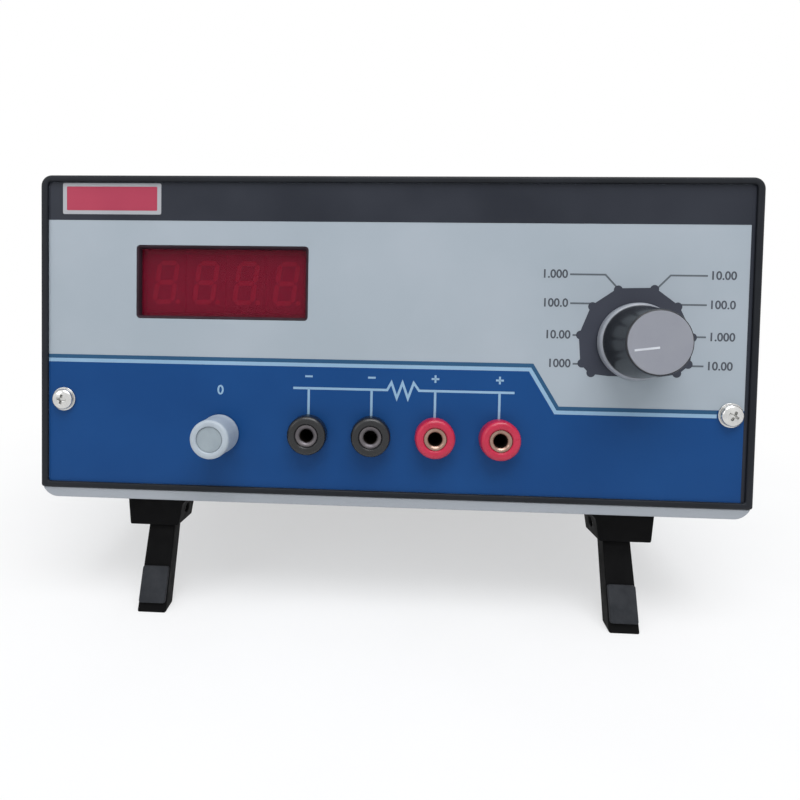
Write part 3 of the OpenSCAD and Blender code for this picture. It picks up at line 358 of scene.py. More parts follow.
# %% Piece helpers
def finish_piece(name, bm, body, material, smooth=35.0):
    """Turns a bmesh in case millimetres into a piece of the instrument."""
    bmesh.ops.remove_doubles(bm, verts=bm.verts, dist=1e-4)
    bmesh.ops.recalc_face_normals(bm, faces=bm.faces)
    bmesh.ops.transform(bm, matrix=CASE, verts=bm.verts)
    mesh = bpy.data.meshes.new(name + "_raw")
    bm.to_mesh(mesh)
    bm.free()
    mesh.materials.append(material)
    mesh.shade_smooth()
    mesh.set_sharp_from_angle(angle=math.radians(smooth))
    piece = bpy.data.objects.new(name, mesh)
    bpy.context.scene.collection.objects.link(piece)
    evener = piece.modifiers.new("even_normals", "WEIGHTED_NORMAL")
    evener.keep_sharp = True
    baked = bpy.data.meshes.new_from_object(piece.evaluated_get(bpy.context.evaluated_depsgraph_get()))
    piece.modifiers.clear()
    piece.data = baked
    baked.name = name
    bpy.data.meshes.remove(mesh)
    print("piece", name, "on", body, len(baked.polygons), "faces")
    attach(piece, body)
    return piece


def soften(node_name, width, steps=3, sharp=32.0):
    """A CAD node with its sharp edges rounded off, width in millimetres, in place of the node."""
    bm = bmesh.new()
    bm.from_mesh(frame["nodes"][node_name].data)
    bmesh.ops.transform(bm, matrix=CASE.inverted() @ frame["nodes"][node_name].matrix_world, verts=bm.verts)
    bmesh.ops.remove_doubles(bm, verts=bm.verts, dist=1e-3)
    bmesh.ops.dissolve_limit(bm, angle_limit=math.radians(0.8), verts=bm.verts, edges=bm.edges)
    edges = [e for e in bm.edges if len(e.link_faces) == 2 and e.calc_face_angle() > math.radians(sharp)]
    bmesh.ops.bevel(bm, geom=edges, offset=width, offset_type="OFFSET", segments=steps, profile=0.5,
                    affect="EDGES", clamp_overlap=False)
    made = finish_piece(node_name + "_softened", bm, body_of[node_name],
                        slot_material[slot_of[node_name]], smooth=38)
    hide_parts(node_name)
    return made


# %% [markdown]
# ### Flat pieces
#
# Printed film, marks and pointer lines are outlines with a thickness, some pierced where a control or
# a socket passes through.

# %% Plates and outlines
def add_plate(bm, outline, y, thickness):
    """A flat outline of (x, z) points, from its front y, going thickness into the case."""
    front = [bm.verts.new((x, y, z)) for x, z in outline]
    back = [bm.verts.new((x, y + thickness, z)) for x, z in outline]
    bm.faces.new(front)
    bm.faces.new(back[::-1])
    count = len(outline)
    for i in range(count):
        j = (i + 1) % count
        bm.faces.new((front[i], back[i], back[j], front[j]))


def add_pierced(bm, outline, holes, y, thickness):
    """A plate like add_plate's, with holes through it."""
    sheet = bmesh.new()
    for loop in [outline] + holes:
        ring = [sheet.verts.new((x, y, z)) for x, z in loop]
        for i, vert in enumerate(ring):
            sheet.edges.new((vert, ring[(i + 1) % len(ring)]))
    bmesh.ops.triangle_fill(sheet, use_beauty=True, edges=sheet.edges)
    raised = bmesh.ops.extrude_face_region(sheet, geom=sheet.faces[:])["geom"]
    bmesh.ops.translate(sheet, vec=(0.0, thickness, 0.0),
                        verts=[part for part in raised if isinstance(part, bmesh.types.BMVert)])
    flat = bpy.data.meshes.new("sheet")
    sheet.to_mesh(flat)
    sheet.free()
    bm.from_mesh(flat)
    bpy.data.meshes.remove(flat)


print("plates are drawn as (x, z) outlines")

# %% [markdown]
# ### Outlines
#
# Dots and holes are round outlines, and every printed line is a stroke of even width.

# %% Dots and strokes
def disc(x, z, radius, steps=40):
    """The outline of a round hole, dot or disc."""
    return [(x + radius * math.cos(2 * math.pi * k / steps), z + radius * math.sin(2 * math.pi * k / steps))
            for k in range(steps)]


def stroke(points, width):
    """The outline of a line of even width through points, with mitred corners."""
    left, right = [], []
    for i, point in enumerate(points):
        here = Vector(point)
        before = (here - Vector(points[i - 1])).normalized() if i else None
        after = (Vector(points[i + 1]) - here).normalized() if i + 1 < len(points) else None
        along = before if after is None else after if before is None else (before + after).normalized()
        side = Vector((-along.y, along.x))
        reach = width / 2
        if before is not None and after is not None:
            reach /= max(0.3, side.dot(Vector((-after.y, after.x))))
        left.append(tuple(here + side * reach))
        right.append(tuple(here - side * reach))
    return left + right[::-1]


print("a 10 mm line, 1 mm wide:", stroke([(0, 0), (10, 0)], 1.0))


# %% [markdown]
# ### Turned and swept pieces
#
# Knobs, sockets and screws are profiles turned about an axis. Frames, the window lip and the pads are
# rounded rectangles skinned one after another.

# %% Lathe and sweep
def add_turned(bm, x, z, y, profile, out=-1.0, steps=72):
    """Turns (radius, height) points about the axis at (x, z), heights measured outwards from y."""
    rings = []
    for radius, height in profile:
        rings.append([bm.verts.new((x + radius * math.cos(a), y + out * height, z + radius * math.sin(a)))
                      for a in (2 * math.pi * k / steps for k in range(steps))]
                     if radius > 0 else [bm.verts.new((x, y + out * height, z))])
    for low, high in zip(rings, rings[1:]):
        for k in range(steps):
            n = (k + 1) % steps
            corners = [low[k % len(low)], low[n % len(low)], high[n % len(high)], high[k % len(high)]]
            unique = list(dict.fromkeys(corners))
            if len(unique) > 2:
                bm.faces.new(unique)


def rounded_outline(left, right, low, high, top_r, low_r, steps=8):
    """Points of a rounded rectangle, counter-clockwise from its lower right corner."""
    corners = [(right - low_r, low + low_r, low_r, -90), (right - top_r, high - top_r, top_r, 0),
               (left + top_r, high - top_r, top_r, 90), (left + low_r, low + low_r, low_r, 180)]
    return [(cx + r * math.cos(math.radians(start + 90 * k / steps)),
             cz + r * math.sin(math.radians(start + 90 * k / steps)))
            for cx, cz, r, start in corners for k in range(steps + 1)]


def add_swept(bm, rings, closed=False):
    """Skins a row of (outline, y) rings that all have the same number of points."""
    rows = [[bm.verts.new((x, y, z)) for x, z in outline] for outline, y in rings]
    pairs = list(zip(rows, rows[1:])) + ([(rows[-1], rows[0])] if closed else [])
    for near, far in pairs:
        for k in range(len(near)):
            n = (k + 1) % len(near)
            bm.faces.new((near[k], near[n], far[n], far[k]))


print("a rounded square has", len(rounded_outline(0, 9, 0, 9, 1, 1)), "points")

# %% [markdown]
# ## The printed panel
#
# The real panel is one film: a black band along the top, a light grey field for the display and the
# dial, and a blue field for the sockets that steps down under the dial. A narrow dark strip of film lies
# along the right end. Here each colour is a piece of film laid on the CAD overlay, the later inks on top.

# %% Colour fields
FILM, FILM_SHARE = 0.02, 0.9
SOCKET_X = [5.1 + (i - 1.5) * 20.0 for i in range(4)]
LOW_Z = 19.7
ZERO_X, ZERO_Z = -53.4, 19.0
SCREW_X, SCREW_Z = 105.0, 28.9
LEFT, RIGHT, BASE, TOP = -110.17, 110.17, 1.93, 98.87
BAND_Z, BLUE_Z, STEP_Z = 86.8, 43.5, 30.3
STEP_LEFT, STEP_RIGHT = 45.2, 53.3
SOCKET_HOLE, ZERO_HOLE, SCREW_HOLE, KNOB_HOLE = 4.1, 3.1, 1.8, 4.9


def film(name, outlines, material, layer, holes=()):
    """Pieces of printed film, layer by layer in front of the overlay."""
    bm = bmesh.new()
    for outline in outlines:
        if holes:
            add_pierced(bm, outline, list(holes), FACE_Y - FILM * layer, FILM * FILM_SHARE)
        else:
            add_plate(bm, outline, FACE_Y - FILM * layer, FILM * FILM_SHARE)
    return finish_piece(name, bm, "case", material)


film("print_top_band", [[(LEFT, BAND_Z), (RIGHT, BAND_Z), (RIGHT, TOP), (LEFT, TOP)]], ink_black, 1)
# a narrow dark strip along the right end, darker than the field beside it
EDGE_W = 1.1
film("print_dark_edge", [[(RIGHT - EDGE_W, BASE), (RIGHT, BASE), (RIGHT, TOP), (RIGHT - EDGE_W, TOP)]],
     ink_black, 3)
film("print_blue_field", [[(LEFT, BASE), (RIGHT, BASE), (RIGHT, STEP_Z), (STEP_RIGHT, STEP_Z),
                           (STEP_LEFT, BLUE_Z), (LEFT, BLUE_Z)]], ink_blue, 1,
     holes=[disc(x, LOW_Z, SOCKET_HOLE) for x in SOCKET_X]
     + [disc(ZERO_X, ZERO_Z, ZERO_HOLE), disc(-SCREW_X, SCREW_Z, SCREW_HOLE, 24)])
print("fields printed")

# %% [markdown]
# ### The two edge lines
#
# A slate line and a pale line run along the blue field's upper edge and stop short of the right screw.

# %% Edge lines
LINE_W, LINE_END = 1.2, 101.0


def edge_line(name, drop, shift, material):
    """A line below the blue field's upper edge. drop and shift keep it beside that edge at the step."""
    film(name, [stroke([(LEFT, BLUE_Z - drop), (STEP_LEFT - shift, BLUE_Z - drop),
                        (STEP_RIGHT - shift, STEP_Z - drop), (LINE_END, STEP_Z - drop)], LINE_W)],
         material, 2)


edge_line("print_slate_line", 0.6, 0.3, ink_slate)
edge_line("print_pale_line", 1.85, 0.9, ink_pale)
print("edge lines end at", LINE_END)

# %% [markdown]
# ### The badge plate
#
# A plain red plate with a pale border sits at the left end of the band.

# %% Badge
BADGE = (-105.5, -73.2, 88.7, 98.6)
BORDER = (1.3, -1.3, 1.2, -1.1)
film("print_badge_border", [rounded_outline(*BADGE, 0.5, 0.5)], ink_white, 2)
film("print_badge_red", [rounded_outline(*(edge + inset for edge, inset in zip(BADGE, BORDER)), 0.3, 0.3)],
     ink_red, 3)
print("badge:", BADGE)

# %% [markdown]
# ### The socket schematic
#
# A line joins the four sockets through a resistor's zigzag: the plain sign of a four-wire
# measurement. The polarity marks are bare minus and plus signs.

# %% Schematic
RAIL_Z, RAIL_W = 34.2, 0.75
RAIL_LEFT, RAIL_RIGHT, DROP_END = 5.0, 4.6, 5.0
ZIG_STEP, ZIG_UP, ZIG_DOWN = 1.75, 2.4, 2.5
peaks = [(ZIG_STEP * (i + 0.75), RAIL_Z + (-ZIG_DOWN if i % 2 else ZIG_UP)) for i in range(5)]
rail = ([(SOCKET_X[0] - RAIL_LEFT, RAIL_Z), (0.0, RAIL_Z)] + peaks
        + [(ZIG_STEP * 5.75, RAIL_Z), (SOCKET_X[3] + RAIL_RIGHT, RAIL_Z)])
drops = [stroke([(x, RAIL_Z), (x, LOW_Z + DROP_END)], RAIL_W) for x in SOCKET_X]
film("print_schematic", [stroke(rail, RAIL_W)] + drops, ink_pale, 2)
MARK_Z, MARK_W, MARK_HALF = 38.0, 0.6, 1.2
marks = []
for i, x in enumerate(SOCKET_X):
    marks.append(stroke([(x - MARK_HALF, MARK_Z), (x + MARK_HALF, MARK_Z)], MARK_W))
    if i > 1:
        marks.append(stroke([(x, MARK_Z - MARK_HALF), (x, MARK_Z + MARK_HALF)], MARK_W))
film("print_polarity_marks", marks, ink_pale, 2)

# %% [markdown]
# ### The dial
#
# A black plate with a bump at each of the eight positions, thin leaders out to two columns of plain
# numbers.

# %% Dial plate and leaders
PLATE = [(-5.9, 16.3), (5.3, 16.6), (12.6, 11.2), (17.4, 1.6), (16.4, -6.9), (13.0, -9.8),
         (7.0, -10.8), (-8.0, -10.8), (-13.6, -10.2), (-16.5, -7.2), (-17.2, 1.8), (-13.7, 10.9)]
DOTS = [PLATE[i] for i in (0, 1, 2, 3, 4, 5, 8, 9, 10, 11)]
film("print_dial_plate", [[(KNOB_X + x, KNOB_Z + z) for x, z in PLATE[::-1]]], ink_dial, 1,
     holes=[disc(KNOB_X, KNOB_Z, KNOB_HOLE)])
DOT_SHARE, DOT_R, LEADER_W = 0.97, 1.35, 0.55
film("print_dial_bumps", [disc(KNOB_X + x * DOT_SHARE, KNOB_Z + z * DOT_SHARE, DOT_R) for x, z in DOTS],
     ink_dial, 2)
ROWS = [71.3, 62.4, 52.6, 43.7]
LEADERS = [
    [(70.1, 67.2), (66.3, ROWS[0]), (55.6, ROWS[0])], [(62.6, ROWS[1]), (55.9, ROWS[1])],
    [(59.0, ROWS[2]), (56.9, ROWS[2])], [(59.6, ROWS[3]), (57.2, ROWS[3])],
    [(81.9, 67.3), (85.8, ROWS[0]), (96.8, ROWS[0])], [(88.5, ROWS[1]), (96.8, ROWS[1])],
    [(93.9, ROWS[2]), (96.9, ROWS[2])], [(93.0, ROWS[3]), (96.5, ROWS[3])]]
film("print_dial_leaders", [stroke(points, LEADER_W) for points in LEADERS], ink_line, 1)


print("dial plate with", len(DOTS), "bumps and", len(LEADERS), "leaders")

# %% [markdown]
# ### Plain numbers
#
# The numbers are printed like the rest of the film: each is a thin plate of ink, set by its anchor.

# %% Numbers
def numbers(name, texts, size, material, layer):
    """Plain numbers as printed film, each with its anchor (x, z) and its side."""
    bm = bmesh.new()
    for text, x, z, side in texts:
        curve = bpy.data.curves.new(name + "_text", "FONT")
        curve.body, curve.size, curve.align_x, curve.align_y = text, size, side, "CENTER"
        curve.extrude, curve.offset = FILM * 0.45, size * 0.022
        carrier = bpy.data.objects.new(name + "_text", curve)
        bpy.context.scene.collection.objects.link(carrier)
        flat = bpy.data.meshes.new_from_object(carrier.evaluated_get(bpy.context.evaluated_depsgraph_get()))
        flat.transform(Matrix.Translation((x, FACE_Y - FILM * (layer - 0.5), z))
                       @ Matrix.Rotation(math.radians(90), 4, "X"))
        bm.from_mesh(flat)
        bpy.data.objects.remove(carrier)
        bpy.data.curves.remove(curve)
        bpy.data.meshes.remove(flat)
    return finish_piece(name, bm, "case", material)


LABEL, ZERO_LABEL, ZERO_MARK_Z = 3.6, 4.2, 32.9
numbers("print_dial_numbers", [
    ("1.000", 55.0, ROWS[0], "RIGHT"), ("100.0", 55.3, ROWS[1], "RIGHT"),
    ("10.00", 56.3, ROWS[2], "RIGHT"), ("1000", 56.6, ROWS[3], "RIGHT"),
    ("10.00", 97.4, ROWS[0], "LEFT"), ("100.0", 97.4, ROWS[1], "LEFT"),
    ("1.000", 97.6, ROWS[2], "LEFT"), ("10.00", 97.2, ROWS[3], "LEFT")], LABEL, ink_text, 1)
numbers("print_zero_mark", [("0", ZERO_X, ZERO_MARK_Z, "CENTER")], ZERO_LABEL, ink_pale, 2)
print("dial and marks printed")

# %% [markdown]
# ## The display
#
# Four seven-segment LED digits stand behind a red acrylic window. They are off: the segments are lighter
# than the digit's face and carry a faint painted glow. The digits lean to the right, as LED digits do, and
# each has a point.

# %% Seven segments
DIGIT_H, DIGIT_W, SEG_W, SLANT = 14.2, 7.4, 1.5, math.tan(math.radians(8))
DIGIT_PITCH, DIGIT_MID_X, DIGIT_Z, DIGIT_Y = 13.3, ZERO_X, 67.6, 6.2
SEG_GAP, SEG_T, POINT_OUT, POINT_R = 0.18, 0.1, 1.0, 0.8


def segment(x0, z0, x1, z1, width):
    """A pointed bar between two points, the shape of one display segment."""
    a, b = Vector((x0, z0)), Vector((x1, z1))
    along = (b - a).normalized()
    side = Vector((-along.y, along.x)) * width / 2
    a, b = a + along * SEG_GAP, b - along * SEG_GAP
    inner = along * width / 2
    return [a, a + inner - side, b - inner - side, b, b - inner + side, a + inner + side]


w, h = (DIGIT_W - SEG_W) / 2, (DIGIT_H - SEG_W) / 2
BARS = [(-w, h, w, h), (w, h, w, 0), (w, 0, w, -h), (-w, -h, w, -h), (-w, 0, -w, -h), (-w, h, -w, 0),
        (-w, 0, w, 0)]
for number in range(4):
    centre_x = DIGIT_MID_X + (number - 1.5) * DIGIT_PITCH
    bm = bmesh.new()
    for bar in BARS:
        points = segment(*bar, SEG_W)
        add_plate(bm, [(centre_x + p.x + p.y * SLANT, DIGIT_Z + p.y) for p in points],
                  DIGIT_Y - SEG_T / 2, SEG_T)
    add_plate(bm, disc(centre_x + w + POINT_OUT, DIGIT_Z - h, POINT_R, 20), DIGIT_Y - SEG_T / 2, SEG_T)
    # the segments' material carries a faint painted glow
    finish_piece("led_segments_%d" % (number + 1), bm, "case", painted_glow_segment)
print("digits made")

# %% [markdown]
# ## The range knob
#
# A turned black knob whose rim at its foot is pale grey as a painted highlight, and a matt grey disc across
# its top. The white line on the disc, set a little below its middle, points at the lowest left position.

# %% Range knob
KNOB_H = 17.6
bm = bmesh.new()
add_turned(bm, KNOB_X, KNOB_Z, FACE_Y, [
    (8.6, 0.5), (11.1, 0.5), (11.2, 0.7), (11.2, 2.4), (11.15, 3.0), (11.1, 3.6), (11.0, 5.0),
    (10.3, 10.0), (9.65, 15.2), (9.47, 16.8), (9.41, 17.25), (9.32, 17.45), (9.2, 17.55), (9.1, 17.6),
    (9.06, 17.5), (9.06, 16.2), (0.0, 16.2)], steps=96)
piece = finish_piece("range_knob_body", bm, "range_control", knob_gloss)
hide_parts("range_knob")
# the foot rim, pale grey as a painted highlight of the glossy edge
bm = bmesh.new()
add_turned(bm, KNOB_X, KNOB_Z, FACE_Y, [
    (10.9, 0.55), (11.7, 0.55), (11.85, 0.7), (11.88, 1.0), (11.88, 2.3), (11.8, 2.8), (11.6, 3.2),
    (11.3, 3.5), (10.95, 3.6), (10.85, 3.2)], steps=96)
finish_piece("range_knob_rim", bm, "range_control", painted_highlight_rim)
POINTER, POINTER_W, POINTER_T = [(-0.1, -1.4), (-7.0, -2.3)], 0.6, 0.1
bm = bmesh.new()
add_plate(bm, stroke([(KNOB_X + x, KNOB_Z + z) for x, z in POINTER], POINTER_W),
          FACE_Y - KNOB_H - 2 * POINTER_T, POINTER_T)
finish_piece("range_knob_pointer", bm, "range_control", line_white)

# %% [markdown]
# ## The front and rear frames
#
# The real frames are moulded rings: a flat rim, edges rounded where the tool allows, and a step inside
# that the panel sits on. One section is swept round the case's outline. The rim is wider at the top
# than at the sides, so each ring gives its inset on every side.

# %% Swept frames
HALF_W, CASE_H, CASE_D, FRAME_D = 112.5, 101.0, 220.0, 14.0
RIM = (2.3, 2.1, 1.9)


def frame_ring(inset, rim=(0.0, 0.0, 0.0)):
    """The case's outline drawn inwards by an even inset plus the rim's side, top and base widths."""
    side, top, base = (inset + part for part in rim)
    top_r = max(3.5 - inset - rim[0], 0.8)
    return rounded_outline(-HALF_W + side, HALF_W - side, base, CASE_H - top, top_r, 0.8)


def moulded_frame(name, face, out, panel_depth, node):
    """A frame whose rim is at y = face and whose body runs FRAME_D along out into the case."""
    rows = [(0.0, 0.0, FRAME_D), (0.0, 0.0, 0.9), (0.08, 0.0, 0.5), (0.28, 0.0, 0.22), (0.6, 0.0, 0.05),
            (1.0, 0.0, 0.0), (-0.45, 1.0, 0.0), (-0.2, 1.0, 0.08), (-0.05, 1.0, 0.25), (0.0, 1.0, 0.5),
            (0.0, 1.0, panel_depth), (2.3, 1.0, panel_depth), (2.3, 1.0, FRAME_D)]
    rings = [(frame_ring(inset, tuple(part * share for part in RIM)), face + out * depth)
             for inset, share, depth in rows]
    bm = bmesh.new()
    add_swept(bm, rings, closed=True)
    made = finish_piece(name, bm, "case", frame_black, smooth=50)
    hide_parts(node)
    return made


moulded_frame("front_frame_moulding", 0.0, 1.0, 3.4, "front_frame")
moulded_frame("rear_frame_moulding", CASE_D, -1.0, 3.0, "rear_frame")
BOSS_IN, BOSS_BACK = 6.6, 3.0
BOSS_X, BOSS_LOW, BOSS_HIGH = HALF_W - RIM[0] - BOSS_IN, RIM[2] + BOSS_IN, CASE_H - RIM[1] - BOSS_IN
bm = bmesh.new()
for x in (-BOSS_X, BOSS_X):
    for z in (BOSS_LOW, BOSS_HIGH):
        add_turned(bm, x, z, CASE_D - BOSS_BACK, [(1.55, -11.0), (4.7, -11.0), (5.0, -10.7), (5.0, -0.2),
                                                  (4.8, 0.0), (1.55, 0.0), (1.55, -11.0)],
                   out=1.0, steps=48)
finish_piece("rear_frame_screw_bosses", bm, "case", frame_black)

# %% [markdown]
# ## The sockets
#
# Each socket is an insulating head with a soft edge, round a plated sleeve whose mouth is chamfered to
# guide the plug. The heads are black and red polyamide, the sleeves nickel-plated brass, duller on the
# black pair, and the bores are dark with age: a thin liner gives them their own surface.

# %% Socket heads and sleeves
HEAD = [(3.54, -2.3), (4.0, -2.3), (4.0, 0.0), (6.0, 0.0), (6.16, 0.15), (6.2, 0.5), (6.2, 3.9), (6.1, 4.5),
        (5.85, 4.95), (5.45, 5.25), (5.0, 5.4), (4.1, 5.4), (3.85, 5.3), (3.7, 5.1), (3.56, 4.95),
        (3.54, 4.0), (3.54, -2.3)]
SLEEVE = [(0.0, -13.0), (2.1, -13.0), (2.1, 4.3), (2.3, 4.6), (2.75, 4.9), (2.95, 4.97), (3.2, 4.97),
          (3.4, 4.9), (3.5, 4.75), (3.5, -15.4), (0.0, -15.4)]
BORE = [(0.0, -12.97), (2.09, -12.97), (2.09, 3.9), (2.05, 3.9), (2.05, -12.9), (0.0, -12.9)]
for number, x in enumerate(SOCKET_X, 1):
    red = number > 2
    bm = bmesh.new()
    add_turned(bm, x, LOW_Z, FACE_Y, HEAD)
    made = finish_piece("socket_%d_head" % number, bm, "case",
                        head_red if red else head_black, smooth=30)
    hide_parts("socket_head_%d" % number)
    bm = bmesh.new()
    add_turned(bm, x, LOW_Z, FACE_Y, SLEEVE)
    made = finish_piece("socket_%d_sleeve" % number, bm, "case",
                        nickel if red else worn_nickel, smooth=30)
    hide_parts("socket_sleeve_%d" % number)
    bm = bmesh.new()
    add_turned(bm, x, LOW_Z, FACE_Y, BORE, steps=48)
    finish_piece("socket_%d_bore" % number, bm, "case", dark_brass)
print("sockets turned")

# %% [markdown]
# ## The zero knob
#
# A small pale knob, slightly waisted, with a soft outer edge and a recessed disc in its end.

# %% Zero knob
bm = bmesh.new()
add_turned(bm, ZERO_X, ZERO_Z, FACE_Y, [
    (5.0, 0.5), (6.0, 0.5), (6.18, 0.7), (6.2, 1.0), (6.2, 2.2), (6.1, 2.6), (6.02, 3.2), (6.0, 8.0),
    (6.02, 11.4), (6.0, 11.8), (5.85, 12.2), (5.55, 12.48), (5.1, 12.6), (4.5, 12.6), (4.15, 12.5),
    (3.98, 12.25), (3.95, 11.9), (3.95, 10.9), (0.0, 10.9)])
piece = finish_piece("zero_knob_body", bm, "zero_control", zero_grey, smooth=30)
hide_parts("zero_knob")

# %% [markdown]
# ## The display's surround
#
# A thin black lip runs round the inside of the window and hides the panel's cut edge. Its black carries a
# painted red cast.

# %% Window lip
WINDOW_HALF_W, WINDOW_HALF_H, WINDOW_Z, WINDOW_R, LEAST_R = 27.8, 11.75, 67.3, 1.2, 0.3


def window_ring(inset):
    """The window's outline drawn inwards."""
    half_w, half_h, corner = WINDOW_HALF_W - inset, WINDOW_HALF_H - inset, max(WINDOW_R - inset, LEAST_R)
    return rounded_outline(ZERO_X - half_w, ZERO_X + half_w, WINDOW_Z - half_h, WINDOW_Z + half_h,
                           corner, corner, steps=6)


LIP = [(0.05, 3.35), (0.05, 1.25), (0.2, 1.1), (0.45, 1.1), (0.7, 1.3), (0.95, 2.2), (1.0, 3.35)]
bm = bmesh.new()
add_swept(bm, [(window_ring(inset), y) for inset, y in LIP], closed=True)
# the lip's black plastic carries the painted red cast
finish_piece("display_window_lip", bm, "case", holder_black_red_cast, smooth=40)

# %% [markdown]
# ## Legs
#
# The rubber pad near each leg's tip has a soft edge.

# %% Leg pads
LEG_X, LEG_LEAN, HINGE = 75.3, math.radians(19.5), (14.0, -9.2)
LEG_LEN, LEG_T, PAD_T, PAD_W, PAD_L, PAD_UP, PAD_R = 32.4, 6.0, 1.2, 8.64, 11.5, 1.5, 0.8


def on_leg(bm, side):
    """Moves points drawn on an upright leg (hinge at the origin) to the left or right leg."""
    place = (Matrix.Translation((side * LEG_X, HINGE[0], HINGE[1])) @ Matrix.Rotation(-LEG_LEAN, 4, "X"))
    bmesh.ops.transform(bm, matrix=place, verts=bm.verts)


for side, word in ((-1, "left"), (1, "right")):
    low, high = PAD_UP - LEG_LEN, PAD_UP - LEG_LEN + PAD_L
    front = -LEG_T / 2 - PAD_T
    bm = bmesh.new()
    rings = []
    for inset, depth in ((0.0, PAD_T), (0.0, 0.35), (0.1, 0.12), (0.35, 0.0)):
        rings.append((rounded_outline(-PAD_W / 2 + inset, PAD_W / 2 - inset, low + inset, high - inset,
                                      PAD_R, PAD_R, steps=5), front + depth))
    add_swept(bm, rings)
    for outline, y in (rings[0], rings[-1]):
        bm.faces.new([bm.verts.new((x, y, z)) for x, z in outline])
    on_leg(bm, side)
    made = finish_piece("leg_pad_%s_moulding" % word, bm, word + "_leg", pad_rubber)
    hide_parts("leg_pad_" + word)
print("pads made")

# %% [markdown]
# ## Rounded edges on the plain parts
#
# Sheet metal and mouldings all have broken edges that catch the light. The foot blocks, legs, sheet
# parts and rear fittings keep their CAD shape and get a small radius.

# %% Feet, sheet parts and fittings
SOFT_EDGES = {"foot_block_left": 0.6, "foot_block_right": 0.6, "leg_left": 0.5, "leg_right": 0.5,
              "rear_feet": 0.8, "bottom_tray": 0.3, "top_cover": 0.2, "rear_panel": 0.15,
              "mains_inlet": 0.3, "power_switch": 0.3, "power_rocker": 0.4, "fuse_cap": 0.25,
              "fuse_holder": 0.25, "panel_washers": 0.14, "inlet_pins": 0.2, "range_knob_disc": 0.1,
              "zero_knob_disc": 0.1}
for node_name, width in SOFT_EDGES.items():
    soften(node_name, width)

# %% [markdown]
# ### The rocker's marks
#
# The two plain marks of a mains rocker, a bar for on and a ring for off, are printed on its two facets.
# They are drawn upright, then laid on the facet and tipped with the rocker.

# %% Rocker marks
ROCKER_X, ROCKER_Y, ROCKER_Z, ROCKER_TIP = 12.0, 216.0, 36.0, math.radians(-9.0)
FACET_RISE, FACET_L = 1.6, 9.5
FACET, FACET_OUT, FACET_MID = math.atan(FACET_RISE / FACET_L), 7.4, FACET_L / 2
MARK_OUT, RING_R, RING_W, BAR_W, BAR_H = 0.03, 1.6, 0.5, 0.28, 1.7


def ring_mark(bm, radius, width, thickness):
    """A flat ring at the origin."""
    add_turned(bm, 0, 0, 0, [(radius, 0), (radius, thickness), (radius - width, thickness),
                             (radius - width, 0), (radius, 0)], out=1.0, steps=40)


bm = bmesh.new()
for up in (1, -1):
    mark = bmesh.new()
    if up > 0:
        ring_mark(mark, RING_R, RING_W, MARK_OUT)
    else:
        add_plate(mark, [(-BAR_W, -BAR_H), (BAR_W, -BAR_H), (BAR_W, BAR_H), (-BAR_W, BAR_H)], 0.0, MARK_OUT)
    place = (Matrix.Translation((ROCKER_X, ROCKER_Y, ROCKER_Z)) @ Matrix.Rotation(ROCKER_TIP, 4, "X")
             @ Matrix.Translation((0.0, FACET_OUT, up * FACET_MID)) @ Matrix.Rotation(-up * FACET, 4, "X"))
    bmesh.ops.transform(mark, matrix=place, verts=mark.verts)
    flat = bpy.data.meshes.new("mark")
    mark.to_mesh(flat)
    bm.from_mesh(flat)
    bpy.data.meshes.remove(flat)
    mark.free()
finish_piece("power_rocker_marks", bm, body_of["power_rocker"], line_white)

# %% [markdown]
# ## Screws
#
# All visible screws are pan heads with a tapered cross recess. One screw is turned, its recess cut with
# a Boolean, and a Geometry Nodes tree sets a copy on each point of a small cloud. Every point holds the
# direction that its screw faces, and a seeded random turn keeps the crosses from lining up.

# %% The cross recess
RECESS_LENGTH, RECESS_WIDTH, RECESS_Z = (1.7, 3.9), (0.55, 0.95), (-1.25, 0.4)


def cross_cutter(head_h):
    """A cross that narrows as it goes down into a head of this height."""
    bm = bmesh.new()
    for quarter in (0, 90):
        box = bmesh.ops.create_cube(bm, size=1.0)["verts"]
        for vert in box:
            end = 0 if vert.co.z < 0 else 1
            vert.co.x *= RECESS_LENGTH[end]
            vert.co.y *= RECESS_WIDTH[end]
            vert.co.z = head_h + RECESS_Z[end]
        bmesh.ops.rotate(bm, verts=box, matrix=Matrix.Rotation(math.radians(quarter), 3, "Z"))
    return bm


print("recess depth below the head's top:", -RECESS_Z[0])

# %% [markdown]
# ### The turned screw
#
# The cutter is taken out of the turned blank, and the finished screw is kept as a pattern.

